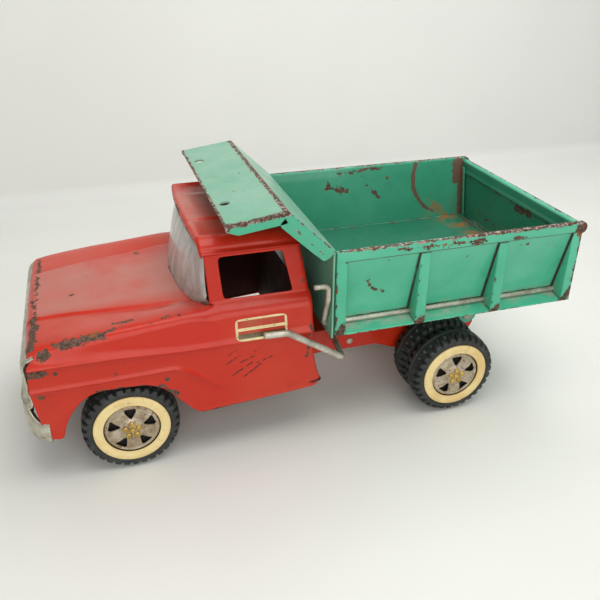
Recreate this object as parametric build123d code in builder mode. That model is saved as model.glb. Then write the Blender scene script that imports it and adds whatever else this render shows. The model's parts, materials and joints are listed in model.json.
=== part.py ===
from build123d import *
from math import cos, radians, sin
import os

# Pressed-steel toy dump truck: cab and frame, dual rear wheels, tipping bed with a cab shield,
# top-hung tailgate with a long latch rod, and a wire dump lever that lifts the bed.
# X points forward, Y to the truck's left, Z up. The origin is on the ground under the middle.
# All sizes are in millimetres.

os.makedirs("parts", exist_ok=True)

# ---- driving dimensions ----
HALF_LENGTH = 171.8      # front of the bumper and back of the tailgate hinge ears
HALF_WIDTH = 74.0        # outer face of the bed ribs
SHEET = 1.0              # body and bed sheet
GAP = 0.05               # assembly gap between two pieces of one body
RUN = 0.06               # radial running clearance of a shaft in a hole

TYRE_R = 28.5
TYRE_W = 18.0
DUAL_GAP = 2.0
FRONT_AXLE_X = 113.7
REAR_AXLE_X = -93.5
AXLE_Z = 26.0
LIFT = TYRE_R - AXLE_Z   # heights below are drawn from a datum this far above the ground
AXLE_R = 2.0
FRONT_FACE = 66.0        # outer side of a front tyre
REAR_FACE = 71.0         # outer side of an outer rear tyre
CORE_R = 17.0
WHITEWALL_R = 22.3
CAP_R = 16.0
TREAD_BLOCKS = 32

FRAME_HALF = 30.0
FRAME_TOP = 50.0
FRAME_BOTTOM = 33.3
FRAME_T = 1.2
FRAME_REAR = -127.5
FRAME_FRONT = 160.0

HINGE_X = -122.0         # bed hinge line
HINGE_Z = 46.0
PIN_R = 2.0
TILT_PER_LEVER = 0.9     # bed tilt for each degree of lever swing
LEVER_SWING = 50.0       # degrees

LEVER_X = -22.0          # lever pivot line, through the frame rails
LEVER_Z = 45.0
LEVER_WIRE_R = 2.0
ARM_Z = 57.0             # height of the lever's arm, above the frame
FINGER_X = -104.0        # place of the lever's finger at rest
LEVER_Y = 71.4           # plane of the handle
SLOT_CLEARANCE = 0.45

BED_FRONT = -7.5
BED_REAR = -168.5
RAIL_TOP = 126.0
RAIL_H = 6.5
RIB_W = 6.5
RIB_BOTTOM = 72.0
FLOOR_TOP = 82.0
CREASE_Y = 62.0          # foot of the sloping side panel
CREASE_Z = 75.0
WALL_BOTTOM = 71.0

LATCH_Y = 64.3
LATCH_Z = 76.5
LATCH_WIRE_R = 1.6

GATE_X = -167.5          # tailgate hinge line
GATE_Z = 122.0
GATE_ROD_R = 1.5
GATE_ROLL_R = 2.6
GATE_BOTTOM = 79.0

CAB_HALF = 67.0
CAB_REAR = 4.5
BELT_Z = 95.0
ROOF_Z = 135.0

TINY = 0.01

# ---- sizes worked out from them ----
FLOOR_BOTTOM = FLOOR_TOP - SHEET
SUB_TOP = FLOOR_BOTTOM - GAP
SUB_IN = FRAME_HALF + 0.6
SUB_OUT = SUB_IN + FRAME_T
RAIL_BOTTOM = RAIL_TOP - RAIL_H
PANEL_TOP_Y = HALF_WIDTH - 1.0
PANEL_SLOPE = (PANEL_TOP_Y - CREASE_Y) / (RAIL_BOTTOM - CREASE_Z)
RIB_PITCH = (BED_FRONT - BED_REAR - RIB_W) / 3
RIB_CENTRES = [BED_FRONT - RIB_W / 2 - i * RIB_PITCH for i in range(4)]
SIDES = {"left": 1, "right": -1}


def finish(builder, name):
    """Lift a finished piece onto the ground, label it and write its STEP file."""
    piece = builder.part.moved(Location((0, 0, LIFT)))
    piece.label = name
    export_step(piece, f"parts/{name}.step")


def side_plane(y):
    """XZ plane at height y, whose normal points to -Y."""
    return Plane.XZ.offset(-y)


def panel_y(z, side_sheet=0.0):
    """Half-width of the sloping side panel at height z, moved inwards by side_sheet."""
    return CREASE_Y + (z - CREASE_Z) * PANEL_SLOPE - side_sheet


# =====================================================================
# Wheels
# =====================================================================

def revolved(points, axle_x):
    """Ring turned about an axle from (y, radius) points."""
    with BuildPart() as ring:
        with BuildSketch(Plane.YZ.offset(axle_x)):
            with BuildLine():
                Polyline([(y, AXLE_Z + r) for y, r in points], close=True)
            make_face()
        revolve(axis=Axis((axle_x, 0, AXLE_Z), (0, 1, 0)))
    return ring


def axle_plane(axle_x, y):
    """Plane square to the axle at y, with its normal towards +Y."""
    return Plane(origin=(axle_x, y, AXLE_Z), x_dir=(1, 0, 0), z_dir=(0, 1, 0))


def make_tyre(name, axle_x, side, outer_y):
    """Solid rubber tyre with a rounded section and square tread blocks."""
    inner_y = outer_y - TYRE_W
    shoulder = 3.0
    bead = CORE_R + GAP
    groove_depth = 1.6
    groove_width = 2.0
    points = [
        (inner_y + 1.5, bead),
        (inner_y, bead + 2.5),
        (inner_y, TYRE_R - shoulder),
        (inner_y + 1.2, TYRE_R - 0.6),
        (inner_y + shoulder, TYRE_R),
        (outer_y - shoulder, TYRE_R),
        (outer_y - 1.2, TYRE_R - 0.6),
        (outer_y, TYRE_R - shoulder),
        (outer_y - 0.9, WHITEWALL_R),
        (outer_y - 0.9, bead),
    ]
    ring = revolved([(side * y, r) for y, r in points], axle_x)
    with BuildPart() as tyre:
        add(ring.part)
        with BuildSketch(axle_plane(axle_x, min(side * inner_y, side * outer_y) - 1)):
            with PolarLocations(TYRE_R, TREAD_BLOCKS):
                Rectangle(2 * groove_depth, groove_width)
        extrude(amount=TYRE_W + 2, mode=Mode.SUBTRACT)
    finish(tyre, name)


def make_whitewall(name, axle_x, side, outer_y):
    """Cream ring let into the tyre's outer side."""
    inner_r = CAP_R + 0.35
    back = outer_y - 0.9 + GAP
    points = [
        (back, inner_r),
        (back, WHITEWALL_R - GAP),
        (outer_y - 0.1, WHITEWALL_R - 0.2),
        (outer_y + 0.5, WHITEWALL_R - 1.6),
        (outer_y + 0.5, inner_r + 1.4),
        (outer_y, inner_r),
    ]
    finish(revolved([(side * y, r) for y, r in points], axle_x), name)


def make_hub(name, axle_x, side, inner_y, outer_y):
    """Wheel core that turns on the axle and carries the tyres."""
    bore = AXLE_R + RUN
    face = outer_y - 4.0
    rim = outer_y - 2.0
    points = [
        (inner_y, bore),
        (inner_y, 8.0),
        (inner_y + 2.5, 8.0),
        (inner_y + 2.5, CORE_R),
        (rim, CORE_R),
        (rim, CORE_R - 1.4),
        (face, CORE_R - 1.4),
        (face, bore),
    ]
    finish(revolved([(side * y, r) for y, r in points], axle_x), name)


def make_hubcap(name, axle_x, side, outer_y):
    """Domed pressed cap with five rounded openings and a centre boss with five nuts."""
    rim = outer_y - 2.0 + GAP
    points = [
        (rim, CAP_R),
        (rim + 1.2, CAP_R - 0.3),
        (rim + 2.2, 13.2),
        (rim + 1.7, 9.0),
        (rim + 2.2, 6.4),
        (rim + 3.4, 5.9),
        (rim + 3.6, 0.0),
        (rim + 2.6, 0.0),
        (rim + 2.4, 4.9),
        (rim + 1.2, 5.6),
        (rim + 0.7, 9.0),
        (rim + 1.2, 13.0),
        (rim + 0.4, 14.4),
        (rim, CAP_R - 1.2),
    ]
    ring = revolved([(side * y, r) for y, r in points], axle_x)
    opening_r = 10.6
    with BuildPart() as cap:
        add(ring.part)
        with BuildSketch(axle_plane(axle_x, min(side * rim, side * (rim + 5)) - 1)):
            with PolarLocations(opening_r, 5, start_angle=90):
                with BuildSketch(mode=Mode.PRIVATE) as opening:
                    Polygon((-2.4, 0.0), (1.9, -3.3), (1.9, 3.3), align=None)
                    fillet(opening.vertices(), 1.0)
                add(opening.sketch)
        extrude(amount=8, mode=Mode.SUBTRACT)
        nut_face = rim + 3.5
        with BuildSketch(axle_plane(axle_x, side * (nut_face - 0.4))):
            with PolarLocations(3.9, 5, start_angle=90):
                RegularPolygon(1.15, 6)
        extrude(amount=side * 1.2)
    finish(cap, name)


for side_name, side in SIDES.items():
    make_tyre(f"tyre_front_{side_name}", FRONT_AXLE_X, side, FRONT_FACE)
    make_whitewall(f"whitewall_front_{side_name}", FRONT_AXLE_X, side, FRONT_FACE)
    make_hub(f"hub_front_{side_name}", FRONT_AXLE_X, side, FRONT_FACE - TYRE_W + 1, FRONT_FACE)
    make_hubcap(f"hubcap_front_{side_name}", FRONT_AXLE_X, side, FRONT_FACE)
    inner_tyre_face = REAR_FACE - TYRE_W - DUAL_GAP
    make_tyre(f"tyre_rear_outer_{side_name}", REAR_AXLE_X, side, REAR_FACE)
    make_tyre(f"tyre_rear_inner_{side_name}", REAR_AXLE_X, side, inner_tyre_face)
    make_whitewall(f"whitewall_rear_{side_name}", REAR_AXLE_X, side, REAR_FACE)
    make_hub(f"hub_rear_{side_name}", REAR_AXLE_X, side, inner_tyre_face - TYRE_W + 0.6, REAR_FACE)
    make_hubcap(f"hubcap_rear_{side_name}", REAR_AXLE_X, side, REAR_FACE)


def make_axle(name, axle_x, hub_inner, outer_y):
    """Steel axle with a shoulder inside each hub and an upset head outside it."""
    head_in = outer_y - 4.0 + 0.15
    shoulder_out = hub_inner - 0.15
    half = [
        (0.0, AXLE_R),
        (shoulder_out - 1.2, AXLE_R),
        (shoulder_out - 1.2, AXLE_R + 1.0),
        (shoulder_out, AXLE_R + 1.0),
        (shoulder_out, AXLE_R),
        (head_in, AXLE_R),
        (head_in, AXLE_R + 1.4),
        (head_in + 1.0, AXLE_R + 1.4),
        (head_in + 1.6, AXLE_R),
    ]
    mirrored = [(-y, r) for y, r in reversed(half)][:-1]
    ends = [(half[-1][0], 0.0), (mirrored[0][0], 0.0)]
    finish(revolved(half + ends + mirrored, axle_x), name)


make_axle("front_axle", FRONT_AXLE_X, FRONT_FACE - TYRE_W + 1, FRONT_FACE)
make_axle("rear_axle", REAR_AXLE_X, inner_tyre_face - TYRE_W + 0.6, REAR_FACE)


# =====================================================================
# Frame
# =====================================================================

RIVET_X = -34.7
RIVET_Z = 38.5
RIVET_R = 1.4
BUMPER_BACK = HALF_LENGTH - 1.2
EAR_R = 6.5
ARM_SLOT_REAR = -31.5    # opening in the frame's top for the lever's arm
ARM_SLOT_FRONT = -17.5
ARM_SLOT_WIDTH = 6.4

with BuildPart() as chassis_frame:
    with BuildSketch(side_plane(FRAME_HALF)):
        with BuildLine():
            Polyline([
                (FRAME_REAR, FRAME_BOTTOM + 5),
                (FRAME_REAR, FRAME_TOP),
                (FRAME_FRONT - 2, FRAME_TOP),
                (FRAME_FRONT + 4, 45.0),
                (BUMPER_BACK - GAP, 45.0),
                (BUMPER_BACK - GAP, 35.0),
                (FRAME_FRONT, FRAME_BOTTOM),
                (FRONT_AXLE_X + 13, FRAME_BOTTOM),
                (FRONT_AXLE_X + 6, 20.0),
                (FRONT_AXLE_X - 6, 20.0),
                (FRONT_AXLE_X - 13, FRAME_BOTTOM),
                (REAR_AXLE_X + 40, FRAME_BOTTOM),
                (REAR_AXLE_X + 24, FRAME_BOTTOM - 6),
                (REAR_AXLE_X + 6, 20.0),
                (REAR_AXLE_X - 6, 20.0),
                (REAR_AXLE_X - 14, FRAME_BOTTOM - 1),
                (FRAME_REAR + 3, FRAME_BOTTOM),
            ], close=True)
        make_face()
        with Locations((FRONT_AXLE_X, AXLE_Z), (REAR_AXLE_X, AXLE_Z), (HINGE_X, HINGE_Z)):
            Circle(AXLE_R + GAP, mode=Mode.SUBTRACT)
        with Locations((RIVET_X, RIVET_Z)):
            Circle(RIVET_R + GAP, mode=Mode.SUBTRACT)
        with Locations((LEVER_X, LEVER_Z)):
            Circle(LEVER_WIRE_R + RUN, mode=Mode.SUBTRACT)
    extrude(amount=2 * FRAME_HALF)
    with BuildSketch(side_plane(FRAME_HALF - FRAME_T)):
        with Locations((0, (FRAME_TOP - FRAME_T) / 2)):
            Rectangle(2 * HALF_LENGTH + 20, FRAME_TOP - FRAME_T)
    extrude(amount=2 * (FRAME_HALF - FRAME_T), mode=Mode.SUBTRACT)
    with BuildSketch(Plane.XY.offset(FRAME_TOP - 3)):
        with Locations(((ARM_SLOT_REAR + ARM_SLOT_FRONT) / 2, 0)):
            Rectangle(ARM_SLOT_FRONT - ARM_SLOT_REAR, ARM_SLOT_WIDTH)
    extrude(amount=6, mode=Mode.SUBTRACT)
finish(chassis_frame, "chassis_frame")

CROSS_REAR = -46.5
CROSS_LEN = 15.0
CROSS_HALF = FRAME_HALF - FRAME_T - GAP
with BuildPart() as frame_crossmember:
    with BuildSketch(Plane.YZ.offset(CROSS_REAR)):
        with Locations((0, (RIVET_Z - 4 + FRAME_TOP - FRAME_T - GAP) / 2)):
            Rectangle(2 * CROSS_HALF, FRAME_TOP - FRAME_T - GAP - RIVET_Z + 4)
        with Locations((0, (RIVET_Z - 4 + FRAME_TOP) / 2 - FRAME_T - 1)):
            Rectangle(2 * (CROSS_HALF - FRAME_T), FRAME_TOP - RIVET_Z + 4, mode=Mode.SUBTRACT)
    extrude(amount=CROSS_LEN)
    with BuildSketch(side_plane(FRAME_HALF)):
        with Locations((RIVET_X, RIVET_Z)):
            Circle(RIVET_R + GAP)
    extrude(amount=2 * FRAME_HALF, mode=Mode.SUBTRACT)
finish(frame_crossmember, "frame_crossmember")


def rivet_points(side):
    """Half-section of a rivet through rail and cross-member, as (y, radius)."""
    inner = CROSS_HALF - FRAME_T - GAP
    outer = FRAME_HALF + GAP
    shape = [
        (inner - 0.7, 0.0),
        (inner - 0.7, RIVET_R + 0.5),
        (inner, RIVET_R + 0.7),
        (inner, RIVET_R),
        (outer, RIVET_R),
        (outer, RIVET_R + 0.8),
        (outer + 0.4, RIVET_R + 0.4),
        (outer + 0.5, 0.0),
    ]
    return [(side * y, RIVET_Z + r) for y, r in shape]


with BuildPart() as frame_rivets:
    for side in SIDES.values():
        with BuildSketch(Plane.YZ.offset(RIVET_X)):
            with BuildLine():
                Polyline(rivet_points(side), close=True)
            make_face()
        revolve(axis=Axis((RIVET_X, 0, RIVET_Z), (0, 1, 0)))
finish(frame_rivets, "frame_rivets")

# The hinge pin is held by the frame and turns in the bed's ears.
PIN_HEAD_Y = SUB_OUT + 0.2
with BuildPart() as bed_hinge_pin:
    with BuildSketch(side_plane(PIN_HEAD_Y)):
        with Locations((HINGE_X, HINGE_Z)):
            Circle(PIN_R)
    extrude(amount=2 * PIN_HEAD_Y)
    for head_start, head_way in ((PIN_HEAD_Y, -1), (-PIN_HEAD_Y, 1)):
        with BuildSketch(side_plane(head_start)):
            with Locations((HINGE_X, HINGE_Z)):
                Circle(PIN_R + 1.4)
        extrude(amount=head_way)
finish(bed_hinge_pin, "bed_hinge_pin")

# A tab under the frame's top holds the inner end of the lever's pivot run.
TAB_Y = 9.0
TAB_T = 1.2
TAB_FOOT_Y = 22.0
TAB_TOP = FRAME_TOP - FRAME_T - GAP
with BuildPart() as lever_bracket:
    with BuildSketch(Plane.XY.offset(TAB_TOP - TAB_T)):
        with Locations((LEVER_X, (TAB_Y + TAB_FOOT_Y) / 2)):
            Rectangle(12, TAB_FOOT_Y - TAB_Y)
    extrude(amount=TAB_T)
    with BuildSketch(side_plane(TAB_Y + TAB_T)):
        with BuildLine():
            Line((LEVER_X - 6, TAB_TOP), (LEVER_X + 6, TAB_TOP))
            Line((LEVER_X + 6, TAB_TOP), (LEVER_X + 5, LEVER_Z))
            ThreePointArc((LEVER_X + 5, LEVER_Z), (LEVER_X, LEVER_Z - 5), (LEVER_X - 5, LEVER_Z))
            Line((LEVER_X - 5, LEVER_Z), (LEVER_X - 6, TAB_TOP))
        make_face()
        with Locations((LEVER_X, LEVER_Z)):
            Circle(LEVER_WIRE_R + RUN, mode=Mode.SUBTRACT)
    extrude(amount=TAB_T)
finish(lever_bracket, "lever_bracket")


# =====================================================================
# Cab
# =====================================================================

# Side view of the nickel-plated front, from the hood lip down to the bumper shelf.
GRILLE_LINE = [
    (157.6, 88.6),
    (162.8, 84.5),
    (166.6, 77.5),
    (165.6, 70.0),
    (163.2, 62.5),
    (160.2, 55.5),
]
GRILLE_T = 1.2
GRILLE_BACK = 2.4        # how far the fender edge stays behind the grille's face
HOOD_FRONT_X = 155.5
COWL_X = 75.0


def cab_lower_outline():
    """Closed side view of hood, fender and door, with the front wheel arch."""
    front_edge = [(x - GRILLE_BACK, z) for x, z in GRILLE_LINE]
    with BuildLine() as outline:
        Line((CAB_REAR, 33.6), (CAB_REAR, BELT_Z))
        Line((CAB_REAR, BELT_Z), (62.0, BELT_Z - 1))
        Line((62.0, BELT_Z - 1), (COWL_X, 92.0))
        Line((COWL_X, 92.0), (HOOD_FRONT_X - 3, 88.4))
        Line((HOOD_FRONT_X - 3, 88.4), front_edge[0])
        Polyline(front_edge + [(156.0, 48.0), (154.0, 36.0), (153.8, 27.6), (151.5, 28.0)])
        Line((151.5, 28.0), (141.0, 46.0))
        ThreePointArc((141.0, 46.0), (136.6, 52.6), (129.5, 55.8))
        Line((129.5, 55.8), (102.0, 54.8))
        ThreePointArc((102.0, 54.8), (92.6, 50.2), (85.0, 41.3))
        Line((85.0, 41.3), (73.5, 28.7))
        Line((73.5, 28.7), (CAB_REAR, 33.6))
    return outline


def greenhouse(inset, low, high):
    """Tapered upper cab, inset on all sides and rounded at its corners."""
    with BuildPart() as upper:
        with BuildSketch(Plane.XY.offset(low)):
            with Locations((34.0, 0)):
                RectangleRounded(57.0 - 2 * inset, 120.0 - 2 * inset, 8.0 - inset)
        with BuildSketch(Plane.XY.offset(high)):
            with Locations((38.8, 0)):
                RectangleRounded(57.0 - 2 * inset, 101.0 - 2 * inset, 8.0 - inset)
        loft()
        fillet(upper.faces().sort_by(Axis.Z)[-1].edges(), 6.0 - inset)
    return upper


FENDER_ROUND = 8.0
WINDOW = [(54.3, 99.6), (55.9, 122.4), (18.1, 121.4), (13.9, 97.8)]
SCREEN_X = 61.5          # front edge of the windshield pillars
SCREEN_LOW = 94.3
SCREEN_HIGH = 124.5

with BuildPart() as lower_outer:
    with BuildSketch(side_plane(CAB_HALF)):
        add(cab_lower_outline())
        make_face()
    extrude(amount=2 * CAB_HALF)
    side_edges = lower_outer.edges().filter_by(lambda e: abs(abs(e.center().Y) - CAB_HALF) < TINY)
    fillet([e for e in side_edges if e.center().Z > 88 and e.length > 10], FENDER_ROUND)

with BuildPart() as lower_inner:
    with BuildSketch(side_plane(CAB_HALF - SHEET)):
        with BuildLine():
            Polyline([
                (CAB_REAR - 8, 20.0),
                (CAB_REAR - 8, BELT_Z - SHEET),
                (62.0, BELT_Z - 1 - SHEET),
                (COWL_X, 92.0 - SHEET),
                (HOOD_FRONT_X - 3, 88.4 - SHEET),
                (HALF_LENGTH + 5, 82.0),
                (HALF_LENGTH + 5, 20.0),
            ], close=True)
        make_face()
    extrude(amount=2 * (CAB_HALF - SHEET))
    side_edges = lower_inner.edges().filter_by(lambda e: abs(abs(e.center().Y) - CAB_HALF + SHEET) < TINY)
    fillet([e for e in side_edges if e.center().Z > 86 and e.length > 10], FENDER_ROUND - SHEET)

upper_outer = greenhouse(0, BELT_Z - 6, ROOF_Z)
upper_inner = greenhouse(SHEET, BELT_Z - 12, ROOF_Z - SHEET)

with BuildPart() as cab_shell:
    add(lower_outer.part)
    add(upper_outer.part)
    add(lower_inner.part, mode=Mode.SUBTRACT)
    add(upper_inner.part, mode=Mode.SUBTRACT)
    with BuildSketch(side_plane(HALF_WIDTH)) as window:
        Polygon(*WINDOW, align=None)
        fillet(window.vertices(), 3.5)
    extrude(amount=2 * HALF_WIDTH, mode=Mode.SUBTRACT)
    with BuildSketch(Plane.YZ.offset(SCREEN_X)):
        with Locations((0, (SCREEN_LOW + SCREEN_HIGH) / 2)):
            Rectangle(140, SCREEN_HIGH - SCREEN_LOW)
    extrude(amount=20, mode=Mode.SUBTRACT)
    with BuildSketch(Plane.YZ.offset(CAB_REAR - 5)):
        with Locations((0, 110)):
            Rectangle(101, 34)
    extrude(amount=12, mode=Mode.SUBTRACT)
finish(cab_shell, "cab_shell")

# Back of the cab: a flat panel let into the shell, with the rear window opening.
BACK_X = CAB_REAR + 0.5
with BuildPart() as cab_back_panel:
    with BuildSketch(Plane.YZ.offset(BACK_X)) as back:
        with BuildLine():
            Polyline([
                (-64.5, 36.0), (-64.5, 80.0), (-60.0, 87.0), (60.0, 87.0), (64.5, 80.0), (64.5, 36.0),
            ], close=True)
        make_face()
        with Locations((0, 36)):
            Rectangle(2 * (FRAME_HALF + 0.3), 2 * (FRAME_TOP + 0.1 - 36), mode=Mode.SUBTRACT)
    extrude(amount=SHEET)
    with BuildSketch(Plane.YZ.offset(9.6)):
        with BuildLine():
            Polyline([(-52.0, 86.0), (-48.5, 124.0), (48.5, 124.0), (52.0, 86.0)], close=True)
        make_face()
        with Locations((0, 110)):
            RectangleRounded(78, 20, 5, mode=Mode.SUBTRACT)
    extrude(amount=SHEET)
    with BuildSketch(Plane.XY.offset(86.0)):
        with Locations(((BACK_X + 9.6 + SHEET) / 2, 0)):
            Rectangle(9.6 + SHEET - BACK_X, 104)
    extrude(amount=SHEET)
finish(cab_back_panel, "cab_back_panel")

# Clear wrap-around windshield, bowed forward and leaning back to the roof.
SCREEN_T = 0.8


def screen_face(z, end_x, end_y, bow_x):
    """Arc-shaped plan section of the windshield at height z."""
    with BuildSketch(Plane.XY.offset(z)) as section:
        with BuildLine():
            ThreePointArc((end_x, -end_y), (bow_x, 0), (end_x, end_y))
            Line((end_x, end_y), (end_x - SCREEN_T, end_y))
            ThreePointArc((end_x - SCREEN_T, end_y), (bow_x - SCREEN_T, 0), (end_x - SCREEN_T, -end_y))
            Line((end_x - SCREEN_T, -end_y), (end_x, -end_y))
        make_face()
    return section.sketch


with BuildPart() as windshield:
    add(screen_face(SCREEN_LOW + 0.1, SCREEN_X + 1.2, 58.0, 76.0))
    add(screen_face(SCREEN_HIGH - 0.1, SCREEN_X + 1.2, 53.5, 68.5))
    loft()
finish(windshield, "windshield")

# Nickel-plated grille and bumper, one stamping.
BUMPER_LOW = 27.0
BUMPER_HIGH = 52.0
BUMPER_FLAT = 48.0
BUMPER_TIP_X = 157.6
GRILLE_HALF = 66.4
CORNER_R = 22.6
CORNER_TURN = radians(59.1)


def corner_x(part):
    """Front-corner point of the bumper's plan, part of the way round its bend."""
    return HALF_LENGTH - CORNER_R * (1 - cos(CORNER_TURN * part))


def corner_y(part):
    """Sideways place of the same point."""
    return BUMPER_FLAT + CORNER_R * sin(CORNER_TURN * part)


with BuildPart() as grille_bumper:
    with BuildSketch(side_plane(GRILLE_HALF)):
        with BuildLine():
            Polyline(GRILLE_LINE)
            offset(amount=GRILLE_T, side=Side.RIGHT)
        make_face()
    extrude(amount=2 * GRILLE_HALF)
    with BuildSketch(side_plane(BUMPER_FLAT)):
        with BuildLine():
            Polyline([
                (GRILLE_LINE[-1][0] - 1.3, 56.0),
                (GRILLE_LINE[-1][0] + 0.1, 55.5),
                (HALF_LENGTH - 0.2, 51.9),
                (HALF_LENGTH - 0.2, 50.6),
                (HALF_LENGTH - 1.2, 50.6),
                (GRILLE_LINE[-1][0] - 1.6, 54.4),
            ], close=True)
        make_face()
    extrude(amount=2 * BUMPER_FLAT)
    with BuildSketch(Plane.XY.offset(BUMPER_LOW)):
        with BuildLine():
            Line((BUMPER_TIP_X, -67.8), (corner_x(1), -corner_y(1)))
            ThreePointArc(*[(corner_x(part), -corner_y(part)) for part in (1, 0.5, 0)])
            Line((HALF_LENGTH, -BUMPER_FLAT), (HALF_LENGTH, BUMPER_FLAT))
            ThreePointArc(*[(corner_x(part), corner_y(part)) for part in (0, 0.5, 1)])
            Line((corner_x(1), corner_y(1)), (BUMPER_TIP_X, 67.8))
            offset(amount=GRILLE_T, side=Side.LEFT)
        make_face()
    extrude(amount=BUMPER_HIGH - BUMPER_LOW)
    with BuildSketch(Plane.YZ.offset(150)):
        with GridLocations(0, 5.2, 1, 5):
            with Locations((0, 70.5)):
                RectangleRounded(70, 2.6, 1.2)
    extrude(amount=HALF_LENGTH - 150, mode=Mode.SUBTRACT)
finish(grille_bumper, "grille_bumper")

# Generic door stickers: plain badge shape with no mark on it.
STICKER_X = 34.7
STICKER_Z = 81.5
for side_name, side in SIDES.items():
    with BuildPart() as sticker:
        start = CAB_HALF + GAP if side > 0 else -CAB_HALF - GAP
        with BuildSketch(side_plane(start)):
            with Locations((STICKER_X, STICKER_Z)):
                RectangleRounded(31, 11, 4.5)
        extrude(amount=-side * 0.15)
    finish(sticker, f"door_sticker_{side_name}")


# =====================================================================
# Bed
# =====================================================================

with BuildPart() as bed_floor:
    front = BED_FRONT - 0.3
    back = -163.2
    half_top = panel_y(FLOOR_TOP, SHEET) - 0.35
    with BuildSketch(Plane.XY.offset(FLOOR_BOTTOM)):
        with Locations(((front + back) / 2, 0)):
            Rectangle(front - back, 2 * half_top)
    extrude(amount=SHEET)
    for side in SIDES.values():
        with BuildSketch(Plane.YZ.offset(back)):
            with BuildLine():
                Polyline([
                    (side * half_top, FLOOR_BOTTOM + 0.5),
                    (side * (half_top - 1.6), CREASE_Z),
                    (side * (half_top - 2.6), CREASE_Z),
                    (side * (half_top - 1.0), FLOOR_BOTTOM + 0.5),
                ], close=True)
            make_face()
        extrude(amount=front - back)
finish(bed_floor, "bed_floor")


def bed_side(side):
    """Pressed side: sloping panel, top rail, bottom ledge, four ribs and a rear flange."""
    top_in = HALF_WIDTH - 3.0
    foot_in = CREASE_Y - SHEET - 0.2
    wall = [
        (top_in, RAIL_TOP),
        (HALF_WIDTH, RAIL_TOP),
        (HALF_WIDTH, RAIL_BOTTOM),
        (PANEL_TOP_Y, RAIL_BOTTOM),
        (CREASE_Y, CREASE_Z),
        (HALF_WIDTH, RIB_BOTTOM + SHEET),
        (HALF_WIDTH, RIB_BOTTOM),
        (foot_in, CREASE_Z - SHEET),
        (panel_y(RAIL_BOTTOM - 4, SHEET + 0.05), RAIL_BOTTOM - 4),
        (top_in, RAIL_BOTTOM),
    ]
    rib = [
        (PANEL_TOP_Y - 0.3, RAIL_BOTTOM + 0.5),
        (HALF_WIDTH, RAIL_BOTTOM + 0.5),
        (HALF_WIDTH, RIB_BOTTOM),
        (CREASE_Y - 0.3, CREASE_Z - 0.5),
    ]
    flange_depth = 6.0
    flange = [
        (PANEL_TOP_Y - 0.5, RAIL_BOTTOM),
        (top_in - flange_depth, RAIL_BOTTOM),
        (panel_y(FLOOR_TOP + 1) - flange_depth, FLOOR_TOP + 0.3),
        (panel_y(FLOOR_TOP) - 0.5, FLOOR_TOP + 0.3),
    ]
    with BuildPart() as panel:
        with BuildSketch(Plane.YZ.offset(BED_REAR)):
            with BuildLine():
                Polyline([(side * y, z) for y, z in wall], close=True)
            make_face()
        extrude(amount=BED_FRONT - BED_REAR)
        for rib_x in RIB_CENTRES:
            with BuildSketch(Plane.YZ.offset(rib_x - RIB_W / 2)):
                with BuildLine():
                    Polyline([(side * y, z) for y, z in rib], close=True)
                make_face()
            extrude(amount=RIB_W)
        with BuildSketch(Plane.YZ.offset(-164.4)):
            with BuildLine():
                Polyline([(side * y, z) for y, z in flange], close=True)
            make_face()
        extrude(amount=SHEET)
        ear_plane = side_plane(side * (HALF_WIDTH - 1.5) + (SHEET if side < 0 else 0))
        with BuildSketch(ear_plane):
            with Locations((GATE_X, GATE_Z)):
                Circle(HALF_LENGTH + GATE_X)
            with Locations((GATE_X + 2.5, GATE_Z)):
                Rectangle(6, 2 * (HALF_LENGTH + GATE_X))
        extrude(amount=SHEET)
        with BuildSketch(side_plane(HALF_WIDTH + 1)):
            with Locations((GATE_X, GATE_Z)):
                Circle(GATE_ROD_R + GAP)
        extrude(amount=2 * HALF_WIDTH + 2, mode=Mode.SUBTRACT)
        with BuildSketch(Plane.YZ.offset(BED_REAR - 1)):
            with Locations((side * LATCH_Y, LATCH_Z)):
                Circle(LATCH_WIRE_R + RUN)
        extrude(amount=BED_FRONT - BED_REAR + 2, mode=Mode.SUBTRACT)
    return panel


for side_name, side in SIDES.items():
    finish(bed_side(side), f"bed_side_{side_name}")

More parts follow.
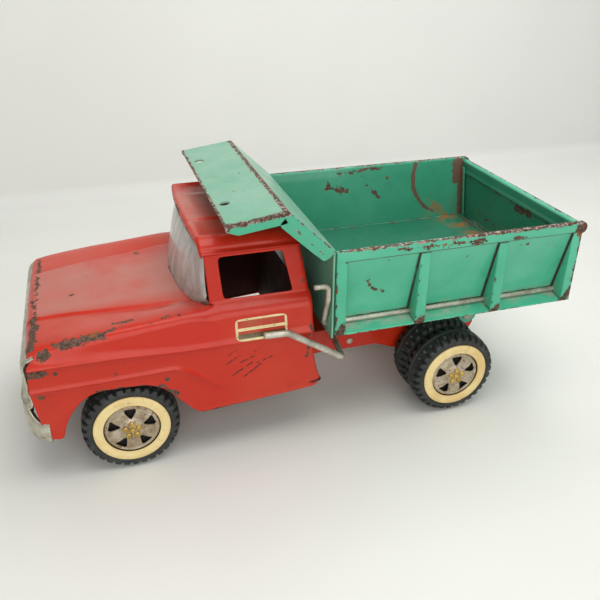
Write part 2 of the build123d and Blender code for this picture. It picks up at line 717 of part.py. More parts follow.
# Front wall and cab shield, one sheet with turned-down side flanges.
KNEE = (20.5, 151.9)
SHIELD_FRONT = (54.6, 147.4)
WALL_FRONT_X = BED_FRONT + 0.1 + SHEET
SLANT_FLANGE = 8.0
FLAT_FLANGE = 5.5
HOLE_X = 48.0
with BuildPart() as cab_shield:
    with BuildSketch(side_plane(HALF_WIDTH - 0.1)):
        with BuildLine():
            Polyline([(WALL_FRONT_X, WALL_BOTTOM), (WALL_FRONT_X, RAIL_TOP), KNEE, SHIELD_FRONT])
            offset(amount=SHEET, side=Side.LEFT)
        make_face()
    extrude(amount=2 * HALF_WIDTH - 0.2)
    slant = (Vector(*KNEE) - Vector(WALL_FRONT_X, RAIL_TOP)).normalized()
    slant_down = Vector(slant.Y, -slant.X)
    flat = (Vector(*SHIELD_FRONT) - Vector(*KNEE)).normalized()
    flat_down = Vector(flat.Y, -flat.X)
    slant_foot = Vector(WALL_FRONT_X, RAIL_TOP)
    slant_end = Vector(*KNEE) - slant * 0.6
    flat_start = Vector(*KNEE) + flat * 0.6
    flat_end = Vector(*SHIELD_FRONT)
    slant_points = [
        slant_foot + slant * 0.5,
        slant_end,
        slant_end + slant_down * SLANT_FLANGE - slant * 2.5,
        slant_foot + slant_down * SLANT_FLANGE + slant * 2.0,
        slant_foot + slant_down * (SLANT_FLANGE - 3) + slant * 0.2,
    ]
    flat_points = [
        flat_start,
        flat_end,
        flat_end + flat_down * 2.0,
        flat_end + flat_down * FLAT_FLANGE - flat * 4.0,
        flat_start + flat_down * FLAT_FLANGE + flat * 1.2,
    ]
    for flange_y in (HALF_WIDTH - 0.1, -HALF_WIDTH + 0.1 + SHEET):
        for flange_points in (slant_points, flat_points):
            with BuildSketch(side_plane(flange_y)):
                with BuildLine():
                    Polyline([(p.X, p.Y) for p in flange_points], close=True)
                make_face()
            extrude(amount=SHEET)
    with BuildSketch(Plane.XY.offset(140)):
        with Locations((HOLE_X, 41.6), (HOLE_X, -41.6)):
            Circle(3.0)
    extrude(amount=20, mode=Mode.SUBTRACT)
    with BuildSketch(Plane.YZ.offset(WALL_FRONT_X - SHEET - 1)):
        with Locations((LATCH_Y, LATCH_Z)):
            Circle(LATCH_WIRE_R + RUN)
    extrude(amount=SHEET + 2, mode=Mode.SUBTRACT)
finish(cab_shield, "cab_shield")

# Channel under the floor: rear ears turn on the hinge pin, front feet rest on the frame.
SUB_FRONT = -20.0
SUB_REAR = -135.0
SUB_FLANGE_BOTTOM = 62.0
FOOT_FRONT = -26.0
FOOT_REAR = -42.0
with BuildPart() as bed_subframe:
    with BuildSketch(Plane.XY.offset(SUB_TOP - FRAME_T)):
        with Locations(((SUB_FRONT + SUB_REAR) / 2, 0)):
            Rectangle(SUB_FRONT - SUB_REAR, 2 * SUB_OUT)
    extrude(amount=FRAME_T)
    for flange_y in (SUB_OUT, -SUB_IN):
        with BuildSketch(side_plane(flange_y)):
            with BuildLine():
                Polyline([
                    (SUB_REAR, SUB_TOP - FRAME_T / 2),
                    (SUB_FRONT, SUB_TOP - FRAME_T / 2),
                    (SUB_FRONT, SUB_FLANGE_BOTTOM + 4),
                    (FOOT_FRONT, SUB_FLANGE_BOTTOM),
                    (FOOT_FRONT, FRAME_TOP + 0.1),
                    (FOOT_REAR, FRAME_TOP + 0.1),
                    (FOOT_REAR, SUB_FLANGE_BOTTOM),
                    (HINGE_X + 13, SUB_FLANGE_BOTTOM),
                    (HINGE_X + EAR_R, HINGE_Z),
                    (HINGE_X - EAR_R, HINGE_Z),
                    (SUB_REAR, SUB_FLANGE_BOTTOM),
                ], close=True)
            make_face()
            with Locations((HINGE_X, HINGE_Z)):
                Circle(EAR_R)
                Circle(PIN_R + RUN, mode=Mode.SUBTRACT)
        extrude(amount=FRAME_T)
    for side in SIDES.values():
        with BuildSketch(Plane.XY.offset(FRAME_TOP + 0.1)):
            with Locations(((FOOT_FRONT + FOOT_REAR) / 2, side * (SUB_OUT - 5))):
                Rectangle(FOOT_FRONT - FOOT_REAR, 10)
        extrude(amount=FRAME_T)
finish(bed_subframe, "bed_subframe")


def finger_in_bed(lever_degrees):
    """Place of the lever's finger, seen from the tilting bed, in rest coordinates."""
    lever = radians(lever_degrees)
    tilt = radians(lever_degrees * TILT_PER_LEVER)
    reach = FINGER_X - LEVER_X
    rise = ARM_Z - LEVER_Z
    x = LEVER_X + reach * cos(lever) + rise * sin(lever) - HINGE_X
    z = LEVER_Z - reach * sin(lever) + rise * cos(lever) - HINGE_Z
    turned_x = x * cos(tilt) + z * sin(tilt)
    turned_z = -x * sin(tilt) + z * cos(tilt)
    return HINGE_X + turned_x, HINGE_Z + turned_z


# Arched slots that the lever's finger runs along while the bed rises.
CAM_WALLS = (-5.0, -17.0)
CAM_T = 1.2
CAM_TOP = SUB_TOP - FRAME_T - GAP
CAM_REAR = -110.0
CAM_FRONT = -18.5
TRACK_STEPS = 10


def track_sides(half_width):
    """Centre line of the finger's track and its two edges, half_width away on each side."""
    centres = [Vector(*finger_in_bed(LEVER_SWING * i / TRACK_STEPS)) for i in range(TRACK_STEPS + 1)]
    upper = []
    lower = []
    for i, centre in enumerate(centres):
        along = (centres[min(i + 1, TRACK_STEPS)] - centres[max(i - 1, 0)]).normalized()
        across = Vector(-along.Y, along.X) * half_width
        upper.append(centre + across)
        lower.append(centre - across)
    return centres, upper, lower


with BuildPart() as lift_bracket:
    slot_half = LEVER_WIRE_R + SLOT_CLEARANCE
    centres, upper, lower = track_sides(slot_half)
    start_tip = centres[0] - (centres[1] - centres[0]).normalized() * slot_half
    end_tip = centres[-1] + (centres[-1] - centres[-2]).normalized() * slot_half
    for wall_y in CAM_WALLS:
        with BuildSketch(side_plane(wall_y)):
            with BuildLine():
                Polyline([
                    (CAM_REAR, CAM_TOP),
                    (CAM_FRONT, CAM_TOP),
                    (CAM_FRONT, FRAME_TOP + 0.15),
                    (-35.0, FRAME_TOP + 0.15),
                    (-46.0, 60.5),
                    (-56.0, 66.5),
                    (-66.0, 69.8),
                    (-76.0, 70.2),
                    (-86.0, 67.0),
                    (-94.0, 60.0),
                    (-98.0, 52.5),
                    (CAM_REAR, 52.5),
                ], close=True)
            make_face()
            with BuildLine():
                Spline(*upper)
                ThreePointArc(upper[-1], end_tip, lower[-1])
                Spline(*reversed(lower))
                ThreePointArc(lower[0], start_tip, upper[0])
            make_face(mode=Mode.SUBTRACT)
        extrude(amount=CAM_T)
    with BuildSketch(Plane.XY.offset(CAM_TOP - SHEET)):
        with Locations(((CAM_REAR + CAM_FRONT) / 2, (CAM_WALLS[0] + CAM_WALLS[1] - CAM_T) / 2)):
            Rectangle(CAM_FRONT - CAM_REAR, CAM_WALLS[0] - CAM_WALLS[1] + CAM_T)
    extrude(amount=SHEET)
finish(lift_bracket, "lift_bracket")

# Tailgate: flat sheet under a rolled top edge, with a stiffening lip at the bottom.
GATE_SHEET_BACK = GATE_X + GATE_ROLL_R - SHEET
with BuildPart() as tailgate:
    with BuildSketch(Plane.YZ.offset(GATE_SHEET_BACK)):
        with BuildLine():
            Polyline([
                (-(panel_y(GATE_BOTTOM, SHEET) - 0.5), GATE_BOTTOM),
                (-(HALF_WIDTH - 3.6), RAIL_BOTTOM - 2),
                (-(HALF_WIDTH - 3.6), GATE_Z),
                (HALF_WIDTH - 3.6, GATE_Z),
                (HALF_WIDTH - 3.6, RAIL_BOTTOM - 2),
                (panel_y(GATE_BOTTOM, SHEET) - 0.5, GATE_BOTTOM),
            ], close=True)
        make_face()
    extrude(amount=SHEET)
    with BuildSketch(Plane.XY.offset(GATE_BOTTOM)):
        with Locations((GATE_SHEET_BACK - 0.7, 0)):
            Rectangle(3.4, 2 * (panel_y(GATE_BOTTOM, SHEET) - 0.5))
    extrude(amount=SHEET)
    with BuildSketch(side_plane(HALF_WIDTH - 3.6)):
        with Locations((GATE_X, GATE_Z)):
            Circle(GATE_ROLL_R)
    extrude(amount=2 * (HALF_WIDTH - 3.6))
    with BuildSketch(side_plane(HALF_WIDTH)):
        with Locations((GATE_X, GATE_Z)):
            Circle(GATE_ROD_R + RUN)
    extrude(amount=2 * HALF_WIDTH, mode=Mode.SUBTRACT)
finish(tailgate, "tailgate")

with BuildPart() as tailgate_hinge_rod:
    rod_end = HALF_WIDTH - 0.2
    with BuildSketch(side_plane(rod_end)):
        with Locations((GATE_X, GATE_Z)):
            Circle(GATE_ROD_R)
    extrude(amount=2 * rod_end)
finish(tailgate_hinge_rod, "tailgate_hinge_rod")


# =====================================================================
# Wires
# =====================================================================

def wire(points, radius, bend):
    """Round wire swept along straight runs with rounded bends: one radius, or one for each corner."""
    with BuildPart() as rod:
        with BuildLine() as path:
            FilletPolyline(*points, radius=bend)
        start = path.wire() @ 0
        with BuildSketch(Plane(origin=start, z_dir=path.wire() % 0)):
            Circle(radius)
        sweep()
    return rod


# The latch rod runs under the left ledge; its crank stands up in front of the bed.
HOOK_X = BED_REAR - LATCH_WIRE_R - 0.1
HOOK_REACH = 12.0
HOOK_BEND = LATCH_WIRE_R + 0.08
CRANK_BEND = 3.0
CRANK_X = WALL_FRONT_X + CRANK_BEND + 0.1
latch_rod = wire(
    [
        (HOOK_X, LATCH_Y - HOOK_REACH * cos(radians(45)), LATCH_Z - HOOK_REACH * sin(radians(45))),
        (HOOK_X, LATCH_Y, LATCH_Z),
        (CRANK_X, LATCH_Y, LATCH_Z),
        (CRANK_X, 72.2, 96.5),
        (CRANK_X, 72.3, 105.2),
        (CRANK_X + 8.6, 71.6, 105.2),
    ],
    LATCH_WIRE_R,
    [HOOK_BEND] + 3 * [CRANK_BEND],
)
finish(latch_rod, "latch_rod")

# The dump lever: handle outside the cab, pivot run across the frame, arm and finger under the bed.
dump_lever = wire(
    [
        (34.8, LEVER_Y, 78.6),
        (20.5, LEVER_Y, 78.0),
        (-13.5, LEVER_Y, 55.4),
        (LEVER_X, FRAME_HALF + 3.5, LEVER_Z),
        (LEVER_X, 0.0, LEVER_Z),
        (LEVER_X - (ARM_Z - LEVER_Z), 0.0, ARM_Z),
        (FINGER_X, 0.0, ARM_Z),
        (FINGER_X, CAM_WALLS[1] - CAM_T - 3.0, ARM_Z),
    ],
    LEVER_WIRE_R,
    4.0,
)
finish(dump_lever, "dump_lever")
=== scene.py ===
import json
import math

import bmesh
import bpy
from mathutils import Matrix, Vector
from mathutils.bvhtree import BVHTree


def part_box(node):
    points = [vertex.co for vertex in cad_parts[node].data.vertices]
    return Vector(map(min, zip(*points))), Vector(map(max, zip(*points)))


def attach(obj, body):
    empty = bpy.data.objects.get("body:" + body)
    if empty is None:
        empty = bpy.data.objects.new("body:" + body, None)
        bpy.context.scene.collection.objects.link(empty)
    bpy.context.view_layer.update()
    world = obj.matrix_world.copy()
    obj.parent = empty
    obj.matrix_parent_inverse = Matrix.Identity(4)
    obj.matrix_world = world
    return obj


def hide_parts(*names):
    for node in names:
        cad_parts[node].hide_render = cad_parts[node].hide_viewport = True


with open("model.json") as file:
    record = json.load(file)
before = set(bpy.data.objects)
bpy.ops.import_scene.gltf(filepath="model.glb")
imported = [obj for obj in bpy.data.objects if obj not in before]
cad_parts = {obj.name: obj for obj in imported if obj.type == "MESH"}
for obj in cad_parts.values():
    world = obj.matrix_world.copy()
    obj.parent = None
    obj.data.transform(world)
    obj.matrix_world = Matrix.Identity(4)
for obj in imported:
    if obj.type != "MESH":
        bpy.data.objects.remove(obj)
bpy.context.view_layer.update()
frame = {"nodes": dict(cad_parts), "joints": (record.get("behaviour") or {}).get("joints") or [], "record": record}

MM = 0.001
SIDES = {"left": 1, "right": -1}
AXLE_Z = 26.0    # height of the axles above the drawing datum


# =====================================================================
# Places, all read from the frame (millimetres)
# =====================================================================

def joint_mm(name):
    """Pivot of a joint in millimetres."""
    joint = next(j for j in frame["joints"] if j["name"] == name)
    return Vector(joint["pos_m"]) / MM


FRONT_AXLE = joint_mm("wheel_front_left_spin")
REAR_AXLE = joint_mm("wheel_rear_left_spin")
LIFT = FRONT_AXLE.z - AXLE_Z    # heights below are drawn from a datum this far above the ground
CAB_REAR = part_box("cab_shell")[0][0] / MM


# =====================================================================
# Mesh helpers
# =====================================================================

def new_object(name, verts_mm, faces, smooth=True):
    """Mesh object from points in millimetres."""
    mesh = bpy.data.meshes.new(name)
    mesh.from_pydata([(Vector(v) + Vector((0, 0, LIFT))) * MM for v in verts_mm], [], faces)
    mesh.update()
    mesh.validate()
    obj = bpy.data.objects.new(name, mesh)
    bpy.context.scene.collection.objects.link(obj)
    for polygon in mesh.polygons:
        polygon.use_smooth = smooth
    return obj


def apply_modifiers(obj):
    """Replace the object's mesh by its evaluated mesh."""
    graph = bpy.context.evaluated_depsgraph_get()
    done = bpy.data.meshes.new_from_object(obj.evaluated_get(graph))
    obj.modifiers.clear()
    obj.data = done
    return obj


def recalc_normals(obj):
    mesh = bmesh.new()
    mesh.from_mesh(obj.data)
    bmesh.ops.remove_doubles(mesh, verts=mesh.verts, dist=1e-6)
    bmesh.ops.recalc_face_normals(mesh, faces=mesh.faces)
    mesh.to_mesh(obj.data)
    mesh.free()
    return obj


def circle(centre_u, centre_v, radius, steps):
    """Points around a circle in its plane."""
    turns = [2 * math.pi * step / steps for step in range(steps)]
    return [(centre_u + radius * math.cos(turn), centre_v + radius * math.sin(turn)) for turn in turns]


def grid_faces(rows, columns, close_rows=False, close_columns=False):
    """Quads between neighbouring points of a rows x columns grid."""
    faces = []
    for r in range(rows if close_rows else rows - 1):
        for c in range(columns if close_columns else columns - 1):
            r2 = (r + 1) % rows
            c2 = (c + 1) % columns
            faces.append((r * columns + c, r * columns + c2, r2 * columns + c2, r2 * columns + c))
    return faces


def add_modifier(obj, kind, **values):
    modifier = obj.modifiers.new(kind.lower(), kind)
    for key, value in values.items():
        setattr(modifier, key, value)
    return modifier


def bevel_edges(obj, width_mm, segments=2, angle=30):
    add_modifier(obj, "BEVEL", width=width_mm * MM, segments=segments, limit_method="ANGLE",
                 angle_limit=math.radians(angle), harden_normals=False)
    return obj


def smooth_by_angle(obj, degrees=35):
    """Smooth faces, with edges sharper than the angle kept sharp."""
    limit = math.radians(degrees)
    mesh = bmesh.new()
    mesh.from_mesh(obj.data)
    for face in mesh.faces:
        face.smooth = True
    for edge in mesh.edges:
        edge.smooth = len(edge.link_faces) != 2 or edge.calc_face_angle(0) < limit
    mesh.to_mesh(obj.data)
    mesh.free()
    return obj


def prism(name, outline, plane, start, end):
    """Closed prism of an outline. plane 'x' takes (y, z) points, 'y' takes (x, z), 'z' takes (x, y)."""
    count = len(outline)
    place = {
        "x": lambda a, b, t: (t, a, b),
        "y": lambda a, b, t: (a, t, b),
        "z": lambda a, b, t: (a, b, t),
    }[plane]
    verts = [place(a, b, start) for a, b in outline] + [place(a, b, end) for a, b in outline]
    faces = [tuple(range(count)), tuple(range(2 * count - 1, count - 1, -1))]
    faces += [(i, i + count, (i + 1) % count + count, (i + 1) % count) for i in range(count)]
    obj = new_object(name, verts, faces, smooth=False)
    return recalc_normals(obj)


def join(name, objects):
    """One object from several meshes."""
    mesh = bmesh.new()
    for obj in objects:
        apply_modifiers(obj)
        mesh.from_mesh(obj.data)
    for obj in objects:
        bpy.data.objects.remove(obj)
    data = bpy.data.meshes.new(name)
    mesh.to_mesh(data)
    mesh.free()
    obj = bpy.data.objects.new(name, data)
    bpy.context.scene.collection.objects.link(obj)
    return obj


def cut(obj, cutters):
    """Boolean difference, applied; the cutters are removed."""
    for cutter in cutters:
        add_modifier(obj, "BOOLEAN", object=cutter, operation="DIFFERENCE", solver="EXACT")
    apply_modifiers(obj)
    for cutter in cutters:
        bpy.data.objects.remove(cutter)
    return obj


def round_corner(points, radii, steps=5):
    """3-D path with each inner corner replaced by an arc."""
    points = [Vector(p) for p in points]
    path = [points[0]]
    for before, corner, after, radius in zip(points, points[1:], points[2:], radii):
        back = (before - corner).normalized()
        ahead = (after - corner).normalized()
        half = back.angle(ahead) / 2
        if half > math.radians(89):
            path.append(corner)
            continue
        centre = corner + (back + ahead).normalized() * radius / math.sin(half)
        a = corner + back * radius / math.tan(half) - centre
        b = corner + ahead * radius / math.tan(half) - centre
        sweep = a.angle(b)
        for step in range(steps + 1):
            t = step / steps
            arm = (a * math.sin((1 - t) * sweep) + b * math.sin(t * sweep)) / math.sin(sweep)
            path.append(centre + arm)
    path.append(points[-1])
    return path


def tube(name, points, radius, bends, sides=20, dent=0.03, step_mm=4.0):
    """Round wire with rounded bends, softly chamfered ends and slight hand-bent unevenness."""
    corners = round_corner(points, bends, 8)
    path = [corners[0]]
    for target in corners[1:]:
        run = (target - path[-1]).length
        pieces = max(1, int(run / step_mm))
        origin = path[-1].copy()
        path += [origin.lerp(target, (i + 1) / pieces) for i in range(pieces)]
    tangents = []
    for i in range(len(path)):
        tangents.append((path[min(i + 1, len(path) - 1)] - path[max(i - 1, 0)]).normalized())
    normal = tangents[0].orthogonal().normalized()
    rings = []
    for i, (centre, along) in enumerate(zip(path, tangents)):
        normal = (normal - along * normal.dot(along)).normalized()
        across = along.cross(normal)
        local = radius * (1 + dent * math.sin(i * 1.7) * math.sin(i * 0.6))
        rings.append([centre + normal * u + across * v for u, v in circle(0, 0, local, sides)])

    def shrunk(ring, centre, scale, shift):
        return [centre + (p - centre) * scale + shift for p in ring]

    chamfer = radius * 0.25
    first, last = path[0], path[-1]
    rings[0] = shrunk(rings[0], first, 1.0, tangents[0] * chamfer)
    rings[-1] = shrunk(rings[-1], last, 1.0, -tangents[-1] * chamfer)
    rings.insert(0, shrunk(rings[0], first + tangents[0] * chamfer, 0.8, -tangents[0] * chamfer))
    rings.append(shrunk(rings[-1], last - tangents[-1] * chamfer, 0.8, tangents[-1] * chamfer))
    verts = [p for ring in rings for p in ring]
    faces = grid_faces(len(rings), sides, close_columns=True)
    faces.append(tuple(range(sides)))
    faces.append(tuple(range(len(verts) - 1, len(verts) - sides - 1, -1)))
    return recalc_normals(new_object(name, verts, faces))


def lathe(name, axle_x, side, profile, segments=96, shape=None):
    """Ring turned about a wheel axle. profile holds (y, radius); shape may change a radius by angle."""
    rings = []
    for s in range(segments):
        angle = 2 * math.pi * s / segments
        ring = []
        for index, (y, r) in enumerate(profile):
            if shape:
                r = shape(index, angle, y, r)
            ring.append((axle_x + r * math.cos(angle), side * y, AXLE_Z + r * math.sin(angle)))
        rings.append(ring)
    verts = [p for ring in rings for p in ring]
    faces = grid_faces(segments, len(profile), close_rows=True, close_columns=True)
    return recalc_normals(new_object(name, verts, faces))


# =====================================================================
# Materials
# =====================================================================

def srgb(red, green, blue):
    """Linear colour from 0-255 display values."""
    def linear(value):
        value /= 255
        return value / 12.92 if value <= 0.04045 else ((value + 0.055) / 1.055) ** 2.4
    return (linear(red), linear(green), linear(blue), 1.0)


class Nodes:
    """Short calls for building a node material."""

    def __init__(self, name):
        self.material = bpy.data.materials.new(name)
        self.material.use_nodes = True
        self.tree = self.material.node_tree
        self.tree.nodes.clear()
        self.output = self.add("ShaderNodeOutputMaterial")
        place = self.add("ShaderNodeTexCoord").outputs["Object"]
        self.place = self.vector("SUBTRACT", place, (0, 0, LIFT * MM))

    def add(self, kind, **values):
        node = self.tree.nodes.new(kind)
        for key, value in values.items():
            setattr(node, key, value)
        return node

    def feed(self, socket, value):
        if isinstance(value, bpy.types.NodeSocket):
            self.tree.links.new(value, socket)
        else:
            socket.default_value = value

    def fill(self, node, **values):
        """Set or link a node's inputs by name, with _ for each space."""
        for key, value in values.items():
            self.feed(node.inputs[key.replace("_", " ")], value)
        return node

    def math(self, operation, a, b=0.0, clamp=False):
        node = self.add("ShaderNodeMath", operation=operation, use_clamp=clamp)
        self.feed(node.inputs[0], a)
        self.feed(node.inputs[1], b)
        return node.outputs[0]

    def times(self, a, b):
        return self.math("MULTIPLY", a, b)

    def highest(self, first, *others):
        for other in others:
            first = self.math("MAXIMUM", first, other)
        return first

    def vector(self, operation, a, b=(0, 0, 0)):
        node = self.add("ShaderNodeVectorMath", operation=operation)
        self.feed(node.inputs[0], a)
        self.feed(node.inputs[1], b)
        return node.outputs["Value" if operation in ("DOT_PRODUCT", "LENGTH") else "Vector"]

    def noise(self, scale, detail=3.0, roughness=0.55, where=None, distortion=0.0):
        node = self.add("ShaderNodeTexNoise")
        self.fill(node, Vector=where or self.place, Scale=scale, Detail=detail)
        return self.fill(node, Roughness=roughness, Distortion=distortion).outputs["Fac"]

    def cells(self, scale):
        """Distance to the nearest of many scattered points."""
        node = self.add("ShaderNodeTexVoronoi")
        return self.fill(node, Vector=self.place, Scale=scale).outputs["Distance"]

    def ramp(self, value, low, high, to_low=0.0, to_high=1.0, smooth=True):
        node = self.add("ShaderNodeMapRange", interpolation_type="SMOOTHSTEP" if smooth else "LINEAR")
        self.fill(node, Value=value, From_Min=low, From_Max=high, To_Min=to_low, To_Max=to_high)
        return node.outputs["Result"]

    def mix(self, amount, a, b, data_type="RGBA", output_type="RGBA"):
        node = self.fill(self.add("ShaderNodeMix", data_type=data_type), Factor=amount, A=a, B=b)
        return next(o for o in node.outputs if o.type == output_type)

    def mix_value(self, amount, a, b):
        return self.mix(amount, a, b, "FLOAT", "VALUE")

    def bump(self, height, strength, distance, normal=None):
        node = self.fill(self.add("ShaderNodeBump"), Strength=strength, Distance=distance, Height=height)
        if normal:
            self.fill(node, Normal=normal)
        return node.outputs["Normal"]

    def edge(self, radius_mm):
        """1 near sharp edges, 0 on flats, from rounded normals."""
        bevel = self.fill(self.add("ShaderNodeBevel", samples=6), Radius=radius_mm * MM)
        normal = self.add("ShaderNodeNewGeometry").outputs["Normal"]
        likeness = self.vector("DOT_PRODUCT", bevel.outputs["Normal"], normal)
        return self.math("SUBTRACT", 1.0, likeness, clamp=True)

    def separate(self, where=None):
        node = self.fill(self.add("ShaderNodeSeparateXYZ"), Vector=where or self.place)
        return node.outputs["X"], node.outputs["Y"], node.outputs["Z"]

    def near_line(self, start_mm, end_mm, radius_mm):
        """1 on a line from start to end, falling to 0 at radius."""
        start = Vector(start_mm) * MM
        run = (Vector(end_mm) - Vector(start_mm)) * MM
        offset = self.vector("SUBTRACT", self.place, tuple(start))
        if run.length > 0:
            scale = tuple(run / run.length_squared)
            along = self.math("MULTIPLY", self.vector("DOT_PRODUCT", offset, scale), 1.0, clamp=True)
            spread = self.add("ShaderNodeCombineXYZ")
            for axis in range(3):
                self.feed(spread.inputs[axis], along)
            offset = self.vector("SUBTRACT", offset, self.vector("MULTIPLY", spread.outputs[0], tuple(run)))
        return self.ramp(self.vector("LENGTH", offset), 0.0, radius_mm * MM, 1.0, 0.0, smooth=False)

    def principled(self, **values):
        node = self.fill(self.add("ShaderNodeBsdfPrincipled"), **values)
        self.fill(self.output, Surface=node.outputs[0])
        return node

    def blend_shaders(self, amount, first, second):
        """Surface that goes from the first shader node at 0 to the second at 1."""
        node = self.add("ShaderNodeMixShader")
        for socket, value in zip(node.inputs, (amount, first.outputs[0], second.outputs[0])):
            self.feed(socket, value)
        self.fill(self.output, Surface=node.outputs[0])


STICKER_X = 34.7    # middle of the door badge
STICKER_Z = 81.5
DOOR_Y = 66.8

# Dark rust brown of the chips, also used for the painted shade in creases and rib joints.
RUST_DARK_AND_SHADE = srgb(66, 50, 42)
RUST_MID = srgb(106, 82, 68)
RUST_WARM = srgb(136, 82, 46)
# Whitish colour of some chips near the top edges: bare chips with a painted highlight.
CHIP_HIGHLIGHT = srgb(206, 204, 194)


def chip_colour(n, primer=0.0):
    """Brown-grey bare metal and old rust; where asked for, a share of the chips at the height of the bed rail's
    top and above are whitish, a painted highlight on bare metal.
    """
    brown = n.mix(n.ramp(n.noise(700, 3), 0.38, 0.62), RUST_DARK_AND_SHADE, RUST_MID)
    brown = n.mix(n.ramp(n.noise(160, 2), 0.56, 0.7), brown, RUST_WARM)
    if primer:
        _, _, z = n.separate()
        pale = n.times(n.ramp(n.noise(420, 3, 0.6), 0.54, 0.58), n.ramp(z, 0.1235, 0.1255))
        brown = n.mix(n.times(pale, primer), brown, CHIP_HIGHLIGHT)
    return brown


def enamel(name, colour, dark, pale, wear, edge_radius=1.6, edge_gain=0.5, roughness=0.3,
           stains=(), marks=None, coat=0.6, primer=0.0, base_chips=0.0):
    """Old stove enamel: faded patches, chips to rusted steel at edges and worn places, and painted shade (ambient
    occlusion) that darkens creases and corners.
    """
    n = Nodes(name)
    paint = n.mix(n.ramp(n.noise(22, 3), 0.3, 0.7), colour, pale)
    paint = n.mix(n.ramp(n.noise(60, 4, 0.65), 0.52, 0.8, 0.0, 0.35), paint, dark)
    fine = n.noise(420, 5, 0.6)
    medium = n.noise(150, 4, 0.6)
    grain = n.math("ADD", n.times(fine, 0.45), n.times(medium, 0.55))
    worn = n.times(n.edge(edge_radius), edge_gain)
    worn = n.times(worn, n.ramp(n.noise(35, 2), 0.3, 0.65, 0.25, 1.0))
    spots = 0.0    # its own chain, so that few values wait at once: the renderer's stack is small
    for start, end, radius, strength in wear:
        spots = n.highest(n.times(n.near_line(start, end, radius), strength), spots)
    worn = n.highest(worn, spots)
    chips = n.ramp(n.math("ADD", grain, n.math("ADD", worn, base_chips)), 0.70, 0.725)
    specks = n.ramp(n.cells(330), 0.09, 0.06)
    specks = n.times(specks, n.ramp(n.noise(90, 2), 0.55, 0.6))
    chips = n.highest(chips, specks)
    # Painted shade: ambient occlusion darkens creases and corners towards dark rust brown.
    folds = n.fill(n.add("ShaderNodeAmbientOcclusion", samples=6, only_local=True), Distance=1.6 * MM)
    fold_shade = n.times(n.ramp(folds.outputs["AO"], 0.80, 0.50), 0.85)
    paint = n.mix(fold_shade, paint, RUST_DARK_AND_SHADE)
    for stain_mask, stain_colour, strength in stains:
        paint = n.mix(n.times(stain_mask(n), strength), paint, stain_colour)
    if marks:
        paint = n.mix(marks(n), paint, srgb(48, 22, 20))
    base = n.mix(chips, paint, chip_colour(n, primer))
    rough = n.mix_value(chips, n.ramp(n.noise(80, 4), 0.3, 0.7, roughness - 0.06, roughness + 0.1), 0.75)
    step = n.math("SUBTRACT", n.times(n.noise(900, 2), 0.1), chips)
    bumps = n.bump(step, 0.35, 0.00025, n.bump(n.noise(30, 2), 0.10, 0.0012))
    n.principled(Base_Color=base, Roughness=rough, Normal=bumps, Specular_IOR_Level=0.28, Coat_Roughness=0.10,
                 Coat_Weight=n.times(n.math("SUBTRACT", 1.0, chips), coat))
    return n.material


def rubber():
    n = Nodes("tyre_rubber")
    dust = n.ramp(n.noise(120, 5, 0.7), 0.45, 0.75)
    colour = n.mix(n.times(dust, 0.4), srgb(34, 37, 36), srgb(86, 90, 86))
    bumps = n.bump(n.noise(1200, 3), 0.25, 0.0003)
    n.principled(Base_Color=colour, Roughness=n.ramp(n.noise(200, 3), 0.3, 0.7, 0.42, 0.7), Normal=bumps)
    return n.material


def whitewall_vinyl():
    n = Nodes("whitewall_vinyl")
    tone = n.ramp(n.noise(45, 4, 0.6), 0.35, 0.7)
    colour = n.mix(tone, srgb(240, 216, 156), srgb(224, 190, 126))
    dirt = n.ramp(n.noise(300, 5, 0.7), 0.56, 0.70)
    colour = n.mix(n.times(dirt, 0.45), colour, srgb(150, 116, 72))
    n.principled(Base_Color=colour, Roughness=0.5, Normal=n.bump(n.noise(500, 3), 0.15, 0.0003),
                 Subsurface_Weight=0.05)
    return n.material


def bare_metal(name, light, dark, rust, roughness, rust_amount, metallic=0.85, scale=500):
    """Dull bare or plated metal with stains and rust specks."""
    n = Nodes(name)
    tone = n.ramp(n.noise(scale * 0.2, 5, 0.7), 0.35, 0.68)
    colour = n.mix(tone, light, dark)
    specks = n.ramp(n.noise(scale, 4, 0.65), 0.62 - rust_amount, 0.7 - rust_amount)
    colour = n.mix(specks, colour, rust)
    rough = n.mix_value(specks, n.ramp(n.noise(150, 3), 0.3, 0.7, roughness - 0.08, roughness + 0.12), 0.8)
    metal = n.mix_value(specks, metallic, 0.2)
    bumps = n.bump(n.noise(scale * 1.5, 4), 0.25, 0.0003)
    n.principled(Base_Color=colour, Roughness=rough, Metallic=metal, Normal=bumps)
    return n.material


def clear_plastic():
    """Cloudy old clear plastic with scuffs and dirt along its foot."""
    n = Nodes("clear_plastic")
    _, _, z = n.separate()
    foot = n.ramp(z, 0.094, 0.114, 1.0, 0.0)
    flattened = n.vector("MULTIPLY", n.place, (1, 1, 0.4))
    haze = n.ramp(n.noise(40, 5, 0.7, flattened, 0.8), 0.35, 0.75, 0.34, 0.78)
    dirt = n.times(foot, n.ramp(n.noise(90, 4, 0.65), 0.4, 0.7, 0.15, 0.8))
    colour = n.mix(dirt, srgb(238, 236, 230), srgb(160, 138, 122))
    film = n.fill(n.add("ShaderNodeBsdfPrincipled"), Base_Color=colour, Roughness=0.32)
    glass = n.add("ShaderNodeBsdfPrincipled")
    n.fill(glass, Base_Color=srgb(248, 250, 248), Transmission_Weight=1.0, Roughness=0.08, IOR=1.2)
    n.blend_shaders(n.highest(haze, dirt), glass, film)
    return n.material


